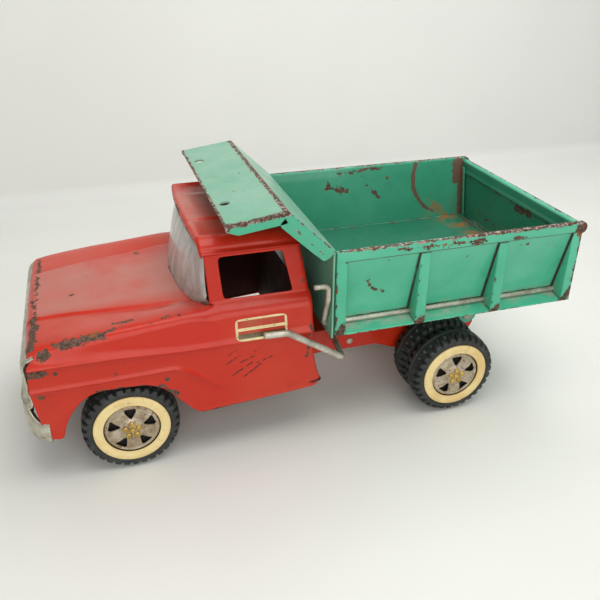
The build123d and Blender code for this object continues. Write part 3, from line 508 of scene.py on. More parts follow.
def sticker_film():
    """Plain badge: cream border, red field above a dark foot and one cream bar, worn in places."""
    n = Nodes("sticker_film")
    along, _, up = n.separate(n.vector("SUBTRACT", n.place, (STICKER_X * MM, 0, STICKER_Z * MM)))
    across = n.math("ABSOLUTE", along)
    height = n.math("ABSOLUTE", up)
    border = n.highest(n.ramp(across, 0.0138, 0.0141), n.ramp(height, 0.0052, 0.0055))
    bar = n.ramp(height, 0.0010, 0.0008)
    foot = n.ramp(up, -0.0026, -0.0028)
    cream = srgb(230, 212, 160)
    colour = n.mix(foot, srgb(178, 40, 22), srgb(64, 62, 30))
    colour = n.mix(n.highest(border, bar), colour, cream)
    colour = n.mix(n.ramp(n.noise(500, 4, 0.6), 0.60, 0.64, 0.0, 0.8), colour, srgb(110, 78, 50))
    colour = n.mix(n.ramp(n.noise(60, 3), 0.4, 0.7, 0.0, 0.4), colour, srgb(160, 124, 70))
    n.principled(Base_Color=colour, Roughness=0.35, Normal=n.bump(n.noise(300, 3), 0.15, 0.0002))
    return n.material


def door_marks(n):
    """Fine scratches on the left door: short, slanting strokes, all in about the same direction."""
    _, y, _ = n.separate()
    strokes = []
    places = [(57, 60, 9, 5), (53, 52, 12, 7), (48, 60, 8, 3), (46, 50, 10, 7), (40, 66, 7, 4),
              (38, 58, 9, 3), (55, 66, 5, 3)]
    for x, z, run, rise in places:
        strokes.append(n.near_line((x, DOOR_Y, z), (x - run, DOOR_Y, z + rise), 1.3))
    ink = n.ramp(n.highest(*strokes), 0.45, 0.75)
    broken = n.ramp(n.noise(300, 3), 0.40, 0.50)
    left = n.ramp(y, 0.05, 0.055)
    return n.times(n.times(ink, broken), left)


def corner_rust(n):
    """Brown rust on the fold in the rear right corner of the bed."""
    low = n.near_line((-162.6, -63, 84), (-162.6, -67, 112), 4)
    high = n.near_line((-160.5, -68.5, 111), (-161, -71, 122), 9)
    mask = n.highest(low, high)
    rough = n.times(n.noise(300, 5, 0.65), 1.2)
    return n.ramp(n.math("ADD", mask, rough), 0.98, 1.06)


def rib_shade_lines(n):
    """Painted shade: dark lines in the joints of the left ribs and under the rail."""
    lines = [n.near_line((-13, 73.4, 119.3), (-162, 73.4, 119.3), 1.1)]
    for x in (-58.8, -110.3, -161.8):
        lines.append(n.near_line((x, 73.0, 118.6), (x, 62.4, 76.5), 1.5))
    broken = n.ramp(n.noise(90, 3), 0.3, 0.45, 0.5, 1.0)
    return n.times(n.ramp(n.highest(*lines), 0.15, 0.5), broken)


def painted_top_highlight(n):
    """Painted highlight: 1 on the upward faces of the hood and roof, which are painted pale pink for the
    reflection of the overhead light.
    """
    normal = n.add("ShaderNodeNewGeometry").outputs["Normal"]
    facing_up = n.ramp(n.vector("DOT_PRODUCT", normal, (0, 0, 1)), 0.90, 0.985)
    _, y, z = n.separate()
    middle = n.ramp(n.math("ABSOLUTE", y), 0.024, 0.040, 1.0, 0.3)
    high = n.times(n.ramp(z, 0.084, 0.090), middle)
    return n.times(n.times(facing_up, high), n.ramp(n.noise(26, 3), 0.3, 0.6, 0.5, 1.0))


def sides_without_highlight(n):
    """1 on the shield's turned-down sides, which keep the plain green without the painted highlight of the
    shield's top.
    """
    _, y, _ = n.separate()
    return n.ramp(n.math("ABSOLUTE", y), 0.0734, 0.0737)


def bed_inside_shade(n):
    """Painted shade: 1 on the floor and tailgate inside the bed, a little on its side walls."""
    x, y, z = n.separate()
    lean = n.times(n.math("SUBTRACT", z, 0.075), 0.2225)
    reach = n.math("SUBTRACT", n.math("ABSOLUTE", y), lean)
    inside = n.times(n.ramp(reach, 0.0617, 0.0612), n.ramp(z, 0.1250, 0.1244))
    inside = n.times(inside, n.ramp(x, -0.1654, -0.1650))
    inside = n.times(inside, n.ramp(z, 0.0812, 0.0816))
    floor = n.ramp(z, 0.0835, 0.0815)
    gate = n.ramp(x, -0.1636, -0.1642)
    depth = n.highest(floor, n.times(gate, 0.75), 0.40)
    return n.times(inside, depth)


def floor_fold_highlight(n):
    """Painted highlight: pale line where the bed's floor meets the right wall."""
    line = n.near_line((-8, -61.8, 82.4), (-150, -61.8, 82.4), 1.3)
    return n.times(line, n.ramp(n.noise(120, 3), 0.35, 0.5, 0.3, 1.0))


def orange_bloom(n):
    """Orange rust that has run from the rear right corner over the foot of the wall and the floor."""
    foot = n.near_line((-140, -63, 88), (-150, -62, 84), 14)
    floor = n.near_line((-148, -58, 82), (-156, -20, 82), 13)
    mask = n.highest(foot, floor)
    return n.times(mask, n.ramp(n.noise(110, 4, 0.65), 0.42, 0.62))


def rust_arc(n):
    """Curved scrape of rust on the inside of the right wall."""
    strokes = []
    path = [(-124, -70, 124), (-122, -69, 116), (-122, -67, 107), (-125, -65, 99), (-131, -63, 91),
            (-138, -62, 87)]
    for start, end in zip(path, path[1:]):
        strokes.append(n.near_line(start, end, 4.2))
    mask = n.math("ADD", n.highest(*strokes), n.times(n.noise(260, 4), 0.6))
    _, y, _ = n.separate()
    inside = n.ramp(y, -0.056, -0.060)
    return n.times(n.ramp(mask, 0.80, 0.90), inside)


def ledge_dirt(n):
    """Pale dust on the ledge below the side panel."""
    ledge = n.near_line((-12, 66, 75), (-162, 66, 75), 7)
    return n.times(ledge, n.ramp(n.noise(90, 4, 0.6), 0.4, 0.65))


def same(point, radius, strength):
    """Worn spot: a worn line of no length."""
    return (point, point, radius, strength)


def rib_feet(y):
    """Worn corners at the feet of the four ribs on one side."""
    corners = [(-8, 5, 77), (-60, 4, 75), (-111, 5, 75), (-163, 5, 79)]
    return [((x, y, 71.5), (x - run, y, top), 5.0, 0.42) for x, run, top in corners]


# Worn places: start and end of a line, the radius around it (millimetres), and how strongly it chips.
CAB_WEAR = [
    ((158, -58, 87), (158, 30, 88), 3.5, 0.30),
    ((159, 30, 88), (160, 60, 86), 5.5, 0.42),
    ((162, -50, 83), (162, 60, 83), 2.5, 0.34),
    ((146, 63, 87.5), (124, 63, 90), 6.0, 0.42),
    ((124, 62, 90.5), (112, 60, 91), 3.4, 0.34),
    ((116, 56, 92), (106, 56, 92.4), 3.0, 0.36),
    ((100, 62, 91), (92, 62, 92), 3.0, 0.30),
    ((90, 60, 93), (80, 60, 94), 3.0, 0.30),
    same((154, 64, 84), 7.0, 0.46),
    ((163, 66, 73.5), (155, 68, 73), 4.5, 0.52),
    same((150, 67, 72), 4.0, 0.30),
    same((159, 67, 58.5), 5.0, 0.34),
    same((118, 67, 66), 5.0, 0.28),
    ((95, 66.6, 53), (84, 66.6, 44), 4.0, 0.34),
    same((90, 66.8, 57), 4.0, 0.38),
    same((80, 66.6, 38), 5.0, 0.30),
    ((74, 66.6, 29.5), (30, 66.6, 31.5), 2.6, 0.30),
    ((100, 66.8, 55.5), (130, 66.8, 56.5), 2.2, 0.32),
    ((5, 66.8, 78), (7, 66.8, 58), 3.4, 0.30),
    same((9, 67.5, 84), 4.0, 0.32),
    same((7, 56, 103), 4.0, 0.36),
    ((65, -48, 129), (69.5, 0, 132.5), 4.0, 0.38),
    ((69.5, 0, 132.5), (65, 48, 129), 4.0, 0.40),
    # The three lines along the cowl at the windshield's foot are rust chips and also a painted shadow line there.
    ((77, 0, 93.5), (72, 37, 94), 2.2, 0.30),
    ((72, 37, 94), (64, 56, 95.5), 2.2, 0.30),
    ((77, 0, 93.5), (72, -37, 94), 2.2, 0.30),
    same((100, 30, 93), 5.0, 0.30),
    same((104, 20, 93), 4.0, 0.28),
    same((128, -10, 92), 5.0, 0.32),
    same((138, 12, 91), 5.0, 0.34),
    same((146, -4, 90), 4.0, 0.28),
    same((63, -20, 134), 7.0, 0.28),
    same((95, -35, 93), 6.0, 0.30),
    ((160, 8, 87), (158, 20, 88), 3.0, 0.38),
]
LEFT_WEAR = [
    ((-166, 72.6, 126.5), (-92, 72.6, 126.5), 3.4, 0.62),
    ((-100, 73, 126.5), (-10, 73, 126.5), 3.8, 0.36),
    ((-100, 74, 122.5), (-44, 74, 123), 4.0, 0.27),
    ((-120, 74, 121), (-128, 74, 121), 3.0, 0.32),
    ((-92, 74, 121), (-98, 74, 121), 3.0, 0.34),
    *rib_feet(74),
    ((-10, 74, 72), (-165, 74, 72), 1.8, 0.26),
    ((-168, 74, 72), (-168, 74, 119), 2.8, 0.32),
    ((-7.6, 74, 74), (-7.6, 74, 119), 2.2, 0.28),
    ((-10, 62.4, 77.4), (-163, 62.4, 77.4), 1.5, 0.36),
    ((-28, 69, 104), (-33, 67, 97), 3.0, 0.28),
    ((-33, 67, 97), (-42, 66, 93), 3.0, 0.28),
    ((-28, 71, 117), (-46, 71, 117), 2.0, 0.30),
    ((-126, 71, 115), (-148, 71, 117), 2.0, 0.28),
    same((-91, 70, 112), 4.0, 0.25),
    same((-168, 73, 122), 8.0, 0.60),
    ((-59.5, 73.7, 112), (-59.5, 73.7, 76), 2.0, 0.19),
    ((-111, 73.7, 112), (-111, 73.7, 76), 2.0, 0.19),
]
RIGHT_WEAR = [
    ((-166, -72.5, 126.5), (-10, -72.5, 126.5), 3.2, 0.36),
    ((-95, -70, 124), (-60, -70, 122), 4.0, 0.26),
    same((-78, -70, 118), 5.0, 0.28),
    ((-52, -68, 113), (-66, -67, 108), 6.0, 0.29),
    ((-84, -68, 112), (-92, -67, 102), 4.0, 0.27),
    same((-100, -69, 116), 4.0, 0.29),
    *rib_feet(-74),
    ((-168, -74, 72), (-168, -74, 119), 2.8, 0.30),
    same((-168, -73, 122), 8.0, 0.50),
]
GATE_WEAR = [
    ((-168, -70, 124.6), (-168, 70, 124.6), 2.6, 0.30),
    ((-164.8, 8, 112), (-164.8, 24, 112.6), 4.6, 0.46),
    ((-164.8, -60, 114), (-164.8, 66, 114), 1.6, 0.26),
    ((-165, -58, 81), (-165, 58, 81), 3.0, 0.32),
    ((-165, -40, 92), (-165, 0, 88), 8.0, 0.20),
]
FLOOR_WEAR = [
    ((-8, -60, 82), (-160, -60, 82), 3.0, 0.20),
    ((-160, -58, 82), (-160, 58, 82), 4.0, 0.30),
    same((-60, -10, 82), 8.0, 0.20),
    same((-150, 20, 82), 7.0, 0.24),
]
SHIELD_WEAR = [
    ((20.5, -74, 153), (20.5, 74, 153), 3.8, 0.44),
    ((20, 73.5, 152.5), (54, 73.5, 148.2), 3.6, 0.42),
    ((55, -74, 148.4), (55, 74, 148.4), 3.2, 0.42),
    same((55, 74, 148.4), 9.0, 0.44),
    ((50, -74, 149), (20, -74, 153), 2.6, 0.30),
    ((-7, 74, 126.5), (19, 74, 152), 3.0, 0.27),
    ((-7, 74, 118), (16, 74, 142), 2.0, 0.22),
    same((38, 2, 150.8), 6.0, 0.20),
    ((46, -6, 149.6), (40, 10, 150.3), 4.0, 0.20),
    ((40, 26, 150.3), (34, 30, 151), 2.4, 0.24),
    same((30, -2, 151.4), 3.0, 0.26),
]

RED = srgb(188, 32, 6)
RED_PALE = srgb(192, 50, 24)
RED_DARK = srgb(138, 22, 8)
RED_TOP_HIGHLIGHT = srgb(178, 108, 96)
GREEN = srgb(66, 170, 134)
GREEN_PALE = srgb(88, 184, 150)
GREEN_DARK = srgb(42, 128, 96)
GREEN_TOP_HIGHLIGHT = srgb(104, 164, 136)
GREEN_TOP_HIGHLIGHT_PALE = srgb(126, 172, 148)
SHADED = srgb(14, 70, 48)
DUST = srgb(176, 170, 156)
ORANGE = srgb(168, 96, 40)
FOLD_HIGHLIGHT = srgb(120, 190, 160)


def green(name, wear, stains):
    # Every bed piece is darkened inside the bed: painted shade.
    return enamel(name, GREEN, GREEN_DARK, GREEN_PALE, wear, edge_gain=0.5, roughness=0.36, coat=0.3,
                  primer=0.5, stains=[(bed_inside_shade, SHADED, 0.85), *stains])


def all_materials():
    # The dark lines at the left ribs and under the rail are painted shade.
    left_stains = [(ledge_dirt, DUST, 0.8), (rib_shade_lines, RUST_DARK_AND_SHADE, 0.9)]
    right_stains = [(orange_bloom, ORANGE, 0.8), (corner_rust, RUST_MID, 1.0), (rust_arc, RUST_MID, 1.0)]
    # The pale line along the floor's edge is a painted highlight.
    floor_stains = [(floor_fold_highlight, FOLD_HIGHLIGHT, 0.8), (orange_bloom, ORANGE, 0.8)]
    made = [
        # The red's pale pink on the hood and roof tops is a painted highlight.
        enamel("red_enamel", RED, RED_DARK, RED_PALE, CAB_WEAR, edge_gain=0.30, marks=door_marks,
               roughness=0.34, coat=0.22, base_chips=-0.02, stains=[(painted_top_highlight, RED_TOP_HIGHLIGHT, 0.9)]),
        # The cab's inside: a dark red that is painted shade, for the cab's inner faces and its back panel.
        enamel("cab_inside", srgb(46, 16, 11), srgb(26, 12, 10), srgb(60, 20, 14), [], roughness=0.6,
               coat=0.0),
        green("green_left", LEFT_WEAR, left_stains),
        green("green_right", RIGHT_WEAR, right_stains),
        green("green_gate", GATE_WEAR, []),
        green("green_enamel", FLOOR_WEAR, floor_stains),
        # The shield's pale top green is a painted highlight; its turned-down sides keep the plain green.
        enamel("shield_enamel", GREEN_TOP_HIGHLIGHT, GREEN, GREEN_TOP_HIGHLIGHT_PALE, SHIELD_WEAR, edge_gain=0.6,
               roughness=0.38, coat=0.2, primer=0.4, stains=[(sides_without_highlight, GREEN, 0.85)]),
        rubber(),
        whitewall_vinyl(),
        bare_metal("hubcap_metal", srgb(196, 184, 164), srgb(150, 132, 106), srgb(116, 78, 46), 0.45, 0.04,
                   metallic=0.6),
        bare_metal("nut_brass", srgb(206, 176, 96), srgb(150, 118, 56), srgb(110, 76, 40), 0.4, 0.02),
        bare_metal("nickel_plate", srgb(206, 202, 188), srgb(160, 152, 132), srgb(120, 96, 66), 0.28, -0.02,
                   metallic=0.95, scale=300),
        bare_metal("plain_steel", srgb(196, 192, 178), srgb(146, 140, 124), srgb(96, 76, 56), 0.42, -0.02,
                   metallic=0.6),
        bare_metal("hub_core", srgb(52, 48, 44), srgb(34, 31, 28), srgb(70, 50, 34), 0.6, 0.03, metallic=0.3),
        clear_plastic(),
        sticker_film(),
    ]
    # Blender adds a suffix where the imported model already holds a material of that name
    return {material.name.split(".")[0]: material for material in made}


MATERIALS = all_materials()


def dress(obj, material, body, replaces=()):
    """Give a piece its material and body, and hide the CAD nodes that it stands for."""
    obj.data.materials.clear()
    obj.data.materials.append(MATERIALS[material])
    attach(obj, body)
    if replaces:
        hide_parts(*replaces)
    return obj


# =====================================================================
# Cab: one stamping of hood, fenders, doors and roof
# =====================================================================

FRONT_X = 156.6
REAR_X = CAB_REAR
FRONT_EDGE = [(157.4, 27.0), (160.4, 33.0), (163.0, 41.0), (164.0, 48.0), (164.2, 58.0), (164.2, 66.0),
              (163.8, 72.0), (163.3, 77.0), (162.4, 80.0), (160.8, 83.0), (158.6, 86.0), (157.2, 92.0)]
NOSE_X = 164.4
NOSE_Z = 81.0
ARCH = [(153.9, 28.2), (151.2, 27.4), (149.2, 29.0), (146.0, 37.0), (141.4, 46.0), (136.6, 52.4),
        (129.5, 55.6), (116.0, 55.4), (102.0, 54.6), (93.4, 50.6), (85.0, 41.2), (78.6, 33.6), (74.2, 29.2),
        (69.5, 28.9), (58.0, 29.8), (44.0, 30.8), (30.0, 31.7), (16.0, 32.7), (8.0, 33.3), (REAR_X, 33.6)]
WALL_Y = 66.4         # flat of the fender and door
CAB_FRONT = 62.2      # front pillar; further forward the shoulder turns into the hood
ROOF_JOINT_Z = 127.0
ROOF_REAR_X = 9.9


def between(table, key, column=0, value=1):
    """Straight-line lookup in a table of points."""
    rows = sorted(table, key=lambda row: row[column])
    if key <= rows[0][column]:
        return rows[0][value]
    for a, b in zip(rows, rows[1:]):
        if key <= b[column]:
            t = (key - a[column]) / (b[column] - a[column])
            return a[value] + (b[value] - a[value]) * t
    return rows[-1][value]


def ease(t):
    """Smooth step from 0 to 1."""
    t = max(0.0, min(1.0, t))
    return t * t * (3 - 2 * t)


# Heights along the body, as (x, z): fender crown, middle of the hood, upper crease of the side, and the
# lower ridge, which is level over the wheel and falls away towards the door
CROWN = [(4, 90.0), (50, 90.5), (62, 94.6), (70, 95.4), (88, 93.8), (106, 92.2), (127, 90.6), (148, 88.0),
         (157, 86.0)]
HOOD = [(55, 94.6), (70, 94.0), (90, 93.0), (114, 92.0), (140, 90.6), (157, 88.6)]
SIDE_CREASE = [(4, 74.6), (38, 74.4), (81, 74.4), (117, 76.4), (160, 76.9)]
RIDGE = [(30, 38.0), (58, 43.5), (75, 57.0), (83, 63.0), (117, 62.2), (160, 62.0)]
HOOD_CREASE_Y = [(85, 41.5), (124, 36.0), (157, 30.5)]    # (x, y) of the crease on top of the hood


def cab_rows(x):
    """Cross-section of the lower body at x: (y, z) from the sill up to the shoulder and hood."""
    bottom = between(ARCH, x)
    crease = between(SIDE_CREASE, x)
    ridge = between(RIDGE, x)
    out = ease((x - 52) / 26)
    hood = ease((x - 60) / 16)
    wall = WALL_Y
    low = max(bottom + 3.6, min(ridge - 5.0, bottom + 8))
    crown = between(CROWN, x)
    rows = [
        (wall - 2.0, bottom + 0.9),
        (wall - 0.9, bottom - 0.1),
        (wall, bottom + 0.5),
        (wall + 0.2, bottom + 1.7),
        (wall - 0.35, bottom + 2.7),
        (wall, low),
        (wall - 0.7 * out, ridge - 1.3),
        (wall + 1.7 * out, ridge - 0.3),
        (wall + 1.6 * out, ridge + 0.7),
        (wall + 0.2, ridge + 2.3),
        (wall + 0.1, (ridge + crease) / 2),
        (wall, crease - 3.0),
        (wall - 1.0, crease - 1.8),
        (wall + 2.0, crease - 0.7),
        (wall + 2.0, crease + 0.5),
        (wall + 0.1, crease + 2.4),
        (wall - 1.2 - 0.2 * hood, crown - 5.4),
    ]
    cab_part = [(64.8, 89.6), (63.4, 92.6), (61.2, 94.6), (59.0, 96.4)]
    crease_fade = ease((x - 78) / 14)
    top = between(HOOD, x)
    hood_part = [
        (63.9, crown - 2.2),
        (61.0, crown - 0.1),
        (56.4, crown + 0.5),
        (48.5, crown + (top - crown) * 0.5 - 0.5 * crease_fade),
    ]
    for (cy, cz), (hy, hz) in zip(cab_part, hood_part):
        rows.append((cy + (hy - cy) * hood, cz + (hz - cz) * hood))
    spread = between(HOOD_CREASE_Y, x)
    step = 1.5 * crease_fade
    rows += [
        (spread + 2.6, top - 0.7 - step * 0.8),
        (spread + 0.5, top - 0.65 - step),
        (spread - 0.3, top - 0.35),
        (spread - 3.0, top - 0.25),
        (0.0, top),
    ]
    return rows


WINDOW_REAR = ((13.4, 98.0), (18.9, 123.5))
WINDOW_FRONT = ((54.4, 98.0), (56.2, 123.5))
PILLAR_FRONT = ((62.4, 95.0), (63.9, 124.6))


def slanted_x(line, z):
    """x on a leaning line at height z."""
    (x0, z0), (x1, z1) = line
    return x0 + (x1 - x0) * (z - z0) / (z1 - z0)


def upper_rows():
    """Half section of the upper cab as (y, z), from just above the shoulder to the roof's middle."""
    side = [(58.3, 96.9), (57.9, 98.1), (57.0, 103.0), (56.2, 110.0), (55.6, 118.4), (54.9, 123.3),
            (54.5, 124.8)]
    drip_rail = [(56.4, 125.6), (56.5, 126.5), (53.9, 127.2)]
    roof = [(53.6, 128.8), (52.2, 130.6), (50.0, 132.6), (47.4, 133.9), (45.6, 133.9), (44.6, 133.5),
            (38.0, 133.6), (24.0, 134.0), (22.6, 134.3), (20.6, 135.0), (10.0, 135.0), (0.0, 135.0)]
    return side + drip_rail + roof


def leaning_x(x, z):
    """Place of an upper column at height z: the pillars lean with the rear edge, window and windshield."""
    if z < ROOF_JOINT_Z:
        rear = slanted_x(((REAR_X, 95.0), (ROOF_REAR_X, ROOF_JOINT_Z)), z)
    else:
        rear = ROOF_REAR_X + (z - ROOF_JOINT_Z) * 0.25
    window_rear = slanted_x(WINDOW_REAR, min(z, 124))
    window_front = slanted_x(WINDOW_FRONT, min(z, 124))
    front = slanted_x(PILLAR_FRONT, min(z, ROOF_JOINT_Z))
    return between([(REAR_X, rear), (14.0, window_rear), (54.3, window_front), (CAB_FRONT, front)], x)


SHOULDER_ROW = 20    # row of cab_rows at the foot of the upper cab
NOSE_ROW = 16        # first row that rolls over the nose
ROOF_START = 7       # row of upper_rows at which the roof lip starts
RECESS_ROWS = (15, 17)
WINDOW_ROWS = (1, 5)
LIP = [(2.6, 0.0), (4.6, -0.6), (5.6, -2.2), (5.2, -3.6)]
REAR_RETURN = [(-1.3, 0.9, 0.6), (-1.7, 2.4, 1.0), (-1.6, 6.0, 0.9)]    # back, inward, share of the flare


def build_cab():
    """Half of the stamping as one sheet of quads, mirrored, smoothed and given its thickness."""
    extra = [FRONT_X, 155.0, 124.0, 109.0, 98.0, 89.6, 64.0, CAB_FRONT, 56.4, 54.3, 49.6, 37.0, 23.0, 14.0,
             12.0, 6.2]
    columns = sorted({x for x, _ in ARCH} | set(extra), reverse=True)
    rows_at = {x: cab_rows(x) for x in columns}
    row_count = len(rows_at[columns[0]])

    verts = []
    index = {}

    def put(key, point):
        index[key] = len(verts)
        verts.append(point)

    def warp(x, z):
        """Follow the curved front edge near the nose."""
        amount = ease((x - 132) / (FRONT_X - 132))
        return x + (between(FRONT_EDGE, z, 1, 0) - FRONT_X) * amount

    for c, x in enumerate(columns):
        for r, (y, z) in enumerate(rows_at[x]):
            if r > SHOULDER_ROW and x < CAB_FRONT:
                continue
            put(("low", c, r), (warp(x, z), y, z))

    faces = []

    def quad(keys):
        if all(key in index for key in keys):
            faces.append([index[key] for key in keys])

    for c in range(len(columns) - 1):
        for r in range(row_count - 1):
            quad([("low", c, r), ("low", c + 1, r), ("low", c + 1, r + 1), ("low", c, r + 1)])

    # hood nose rolled down over the grille
    for r in range(NOSE_ROW, row_count):
        x, y, z = verts[index[("low", 0, r)]]
        end_x = NOSE_X - 0.5 * ease((y - 54) / 12) - 1.4 * (y / 66) ** 2
        for step, degrees in enumerate((25, 50, 72, 90)):
            turn = math.radians(degrees)
            put(("nose", step, r),
                (x + (end_x - x) * math.sin(turn), y, NOSE_Z + (z - NOSE_Z) * math.cos(turn)))
        put(("nose", 4, r), (end_x - 0.9, y, NOSE_Z - 0.5))
    nose_chain = [("low", 0)] + [("nose", step) for step in range(5)]
    for a, b in zip(nose_chain, nose_chain[1:]):
        for r in range(NOSE_ROW, row_count - 1):
            quad([(*a, r), (*b, r), (*b, r + 1), (*a, r + 1)])
        quad([("low", 0, NOSE_ROW - 1), (*a, NOSE_ROW), (*b, NOSE_ROW)])

    # upper cab: the same columns, but slanted with height
    cab_columns = [c for c, x in enumerate(columns) if x <= CAB_FRONT]
    section = upper_rows()
    for c in cab_columns:
        for r, (y, z) in enumerate(section):
            put(("up", c, r), (leaning_x(columns[c], z), y, z))
    first_window = columns.index(54.3)
    last_window = columns.index(14.0)
    for c in cab_columns[:-1]:
        quad([("low", c, SHOULDER_ROW), ("low", c + 1, SHOULDER_ROW), ("up", c + 1, 0), ("up", c, 0)])
        for r in range(len(section) - 1):
            in_window = WINDOW_ROWS[0] <= r < WINDOW_ROWS[1] and first_window <= c < last_window
            if not in_window:
                quad([("up", c, r), ("up", c + 1, r), ("up", c + 1, r + 1), ("up", c, r + 1)])

    # roof lip over the windshield
    first = cab_columns[0]
    for step, (dx, dz) in enumerate(LIP):
        for r in range(ROOF_START, len(section)):
            y, z = section[r]
            bow = 1.0 - (y / 55.0) ** 2
            lift = max(0.0, min(1.0, (z - 124) / 8))
            x = leaning_x(CAB_FRONT, z) + dx * (0.35 + 0.65 * bow)
            put(("lip", step, r), (x, y - 0.25 * step * (1 - bow), z + dz * lift - (0.4 * step * (1 - lift))))
    chain = [("up", first)] + [("lip", step) for step in range(len(LIP))]
    for r in range(ROOF_START, len(section) - 1):
        for a, b in zip(chain, chain[1:]):
            quad([(*b, r), (*a, r), (*a, r + 1), (*b, r + 1)])

    # rounded return at the rear edge
    last = len(columns) - 1
    chain = [("low", r) for r in range(SHOULDER_ROW + 1)] + [("up", r) for r in range(len(section))]
    for step, (dx, inward, share) in enumerate(REAR_RETURN):
        for kind, r in chain:
            x, y, z = verts[index[(kind, last, r)]]
            flat = max(0.0, min(1.0, (z - ROOF_JOINT_Z) / 6.0)) if kind == "up" else 0.0
            flare = 5.4 * math.exp(-((z - 38.0) / 5.0) ** 2) * share
            place = (x + dx - flare, max(0.0, y - inward * (1 - flat)), z - inward * flat)
            put(("rear", step, kind, r), place)
    for a, b in zip(chain, chain[1:]):
        quad([(a[0], last, a[1]), ("rear", 0, *a), ("rear", 0, *b), (b[0], last, b[1])])
        for step in range(2):
            quad([("rear", step, *a), ("rear", step + 1, *a), ("rear", step + 1, *b), ("rear", step, *b)])

    # recessed roof panels
    for c in cab_columns:
        if 12.5 <= columns[c] <= 58.1:
            for r in range(RECESS_ROWS[0], RECESS_ROWS[1] + 1):
                x, y, z = verts[index[("up", c, r)]]
                verts[index[("up", c, r)]] = (x, y, z - 1.0)

    obj = new_object("cab_body", verts, faces)
    add_modifier(obj, "MIRROR", use_axis=(False, True, False), use_clip=True, merge_threshold=1e-5)
    apply_modifiers(obj)
    recalc_normals(obj)
    add_modifier(obj, "SUBSURF", levels=2, render_levels=2)
    obj.data.materials.append(MATERIALS["red_enamel"])
    # The inner faces take the cab's inside material, a dark red that is painted shade.
    obj.data.materials.append(MATERIALS["cab_inside"])
    add_modifier(obj, "SOLIDIFY", thickness=1.0 * MM, offset=-1.0, material_offset=1)
    apply_modifiers(obj)
    return obj


cab_body = build_cab()
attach(cab_body, "chassis")
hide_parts("cab_shell")


# =====================================================================
# Wheels
# =====================================================================

TYRE_R = 28.4
TYRE_WIDTH = 18.0
LUGS = 32
STEPS_PER_LUG = 8
LUG_GAP = 0.30        # share of a lug's pitch that is gap
# Sections as (distance along the axle, radius); the first from the inner face, the others from the outer
INNER_BEAD = [(1.6, 17.2), (0.3, 19.5), (0.0, 22.0), (0.1, 24.6), (0.7, 26.2)]
OUTER_BEAD = [(-0.7, 26.2), (0.0, 24.8), (0.0, 23.2), (-0.3, 22.6), (-0.9, 22.2), (-0.9, 17.2)]
WHITEWALL = [(-0.8, 16.6), (-0.8, 22.1), (-0.3, 22.25), (0.2, 22.0), (0.45, 21.3), (0.5, 20.0), (0.5, 18.4),
             (0.3, 17.9), (0.3, 17.5), (0.5, 17.1), (0.3, 16.6), (-0.2, 16.4)]
HUBCAP_INSET = 1.9
HUBCAP = [(0.0, 16.0), (0.7, 16.0), (1.3, 15.6), (1.5, 15.0), (1.2, 14.3), (1.4, 13.4), (2.1, 12.2),
          (2.2, 10.6), (1.9, 9.0), (1.7, 7.8), (2.0, 7.0), (2.8, 6.4), (3.1, 5.6), (3.1, 3.0), (3.2, 0.6),
          (2.4, 0.6), (2.4, 5.2), (1.4, 6.0), (1.0, 7.8), (1.4, 10.6), (1.3, 12.0), (0.7, 13.4), (0.3, 15.0)]
OPENINGS = 5
OPENING_CORNERS = [(8.2, 0.0, math.pi), (12.6, 2.325, math.pi / 3), (12.6, -2.325, -math.pi / 3)]
OPENING_CORNER_R = 1.1
NUT = [(2.9, 1.0), (3.7, 1.0), (4.05, 0.85), (4.15, 0.5), (4.2, 0.05)]    # here a share of the nut's radius
NUT_RING_R = 4.0


def tyre(name, axle_x, side, outer, body, node):
    """Rubber tyre: round shoulders, deep lug blocks, centre groove."""
    inner = outer - TYRE_WIDTH
    mid = (inner + outer) / 2
    profile = [(inner + y, r) for y, r in INNER_BEAD]
    tread_start = len(profile)
    steps = 12
    for i in range(steps + 1):
        t = i / steps
        y = inner + 1.2 + (outer - inner - 2.4) * t
        crown = TYRE_R - 0.9 * (2 * t - 1) ** 4 - 0.25 * (2 * t - 1) ** 2
        profile.append((y, crown))
    tread_end = len(profile)
    profile += [(outer + y, r) for y, r in OUTER_BEAD]

    def carved(index, angle, y, r):
        """Radius with the centre groove and the gaps between lugs, staggered from side to side."""
        phase = angle / (2 * math.pi) * LUGS + (0.5 if y > mid else 0.0)
        gap = 1.0 if phase % 1.0 < LUG_GAP else 0.0
        if tread_start <= index < tread_end:
            across = abs(y - mid) / (TYRE_WIDTH / 2)
            if across < 0.10:
                return r - 1.1
            return r - 1.8 * gap if across > 0.34 else r
        return r - 0.9 * gap if index in (tread_start - 1, tread_end) else r

    obj = smooth_by_angle(lathe(name, axle_x, side, profile, LUGS * STEPS_PER_LUG, carved), 30)
    dress(obj, "tyre_rubber", body, replaces=[node])


def whitewall(name, axle_x, side, outer, body, node):
    """Cream ring with a raised inner bead and a soft outer edge."""
    obj = smooth_by_angle(lathe(name, axle_x, side, [(outer + y, r) for y, r in WHITEWALL]), 50)
    dress(obj, "whitewall_vinyl", body, replaces=[node])


def hubcap(name, axle_x, side, outer, body, node):
    """Dished cap with rounded triangular openings."""
    rim = outer - HUBCAP_INSET
    cap = lathe(name, axle_x, side, [(rim + y, r) for y, r in HUBCAP], 100)
    outline = []
    for radial, around, facing in OPENING_CORNERS:
        for k in range(-2, 3):
            spin = facing + k * 0.5
            u = radial + OPENING_CORNER_R * math.cos(spin)
            outline.append((u, around + OPENING_CORNER_R * math.sin(spin)))
    outline.sort(key=lambda p: math.atan2(p[1], p[0] - 11.2))
    cutters = []
    for i in range(OPENINGS):
        turn = 2 * math.pi * i / OPENINGS + math.pi / 2
        c, s = math.cos(turn), math.sin(turn)
        points = [(axle_x + u * c - v * s, AXLE_Z + u * s + v * c) for u, v in outline]
        cutters.append(prism("cutter", points, "y", side * (rim - 1), side * (rim + 5)))
    smooth_by_angle(cut(cap, cutters), 40)
    dress(cap, "hubcap_metal", body, replaces=[node])


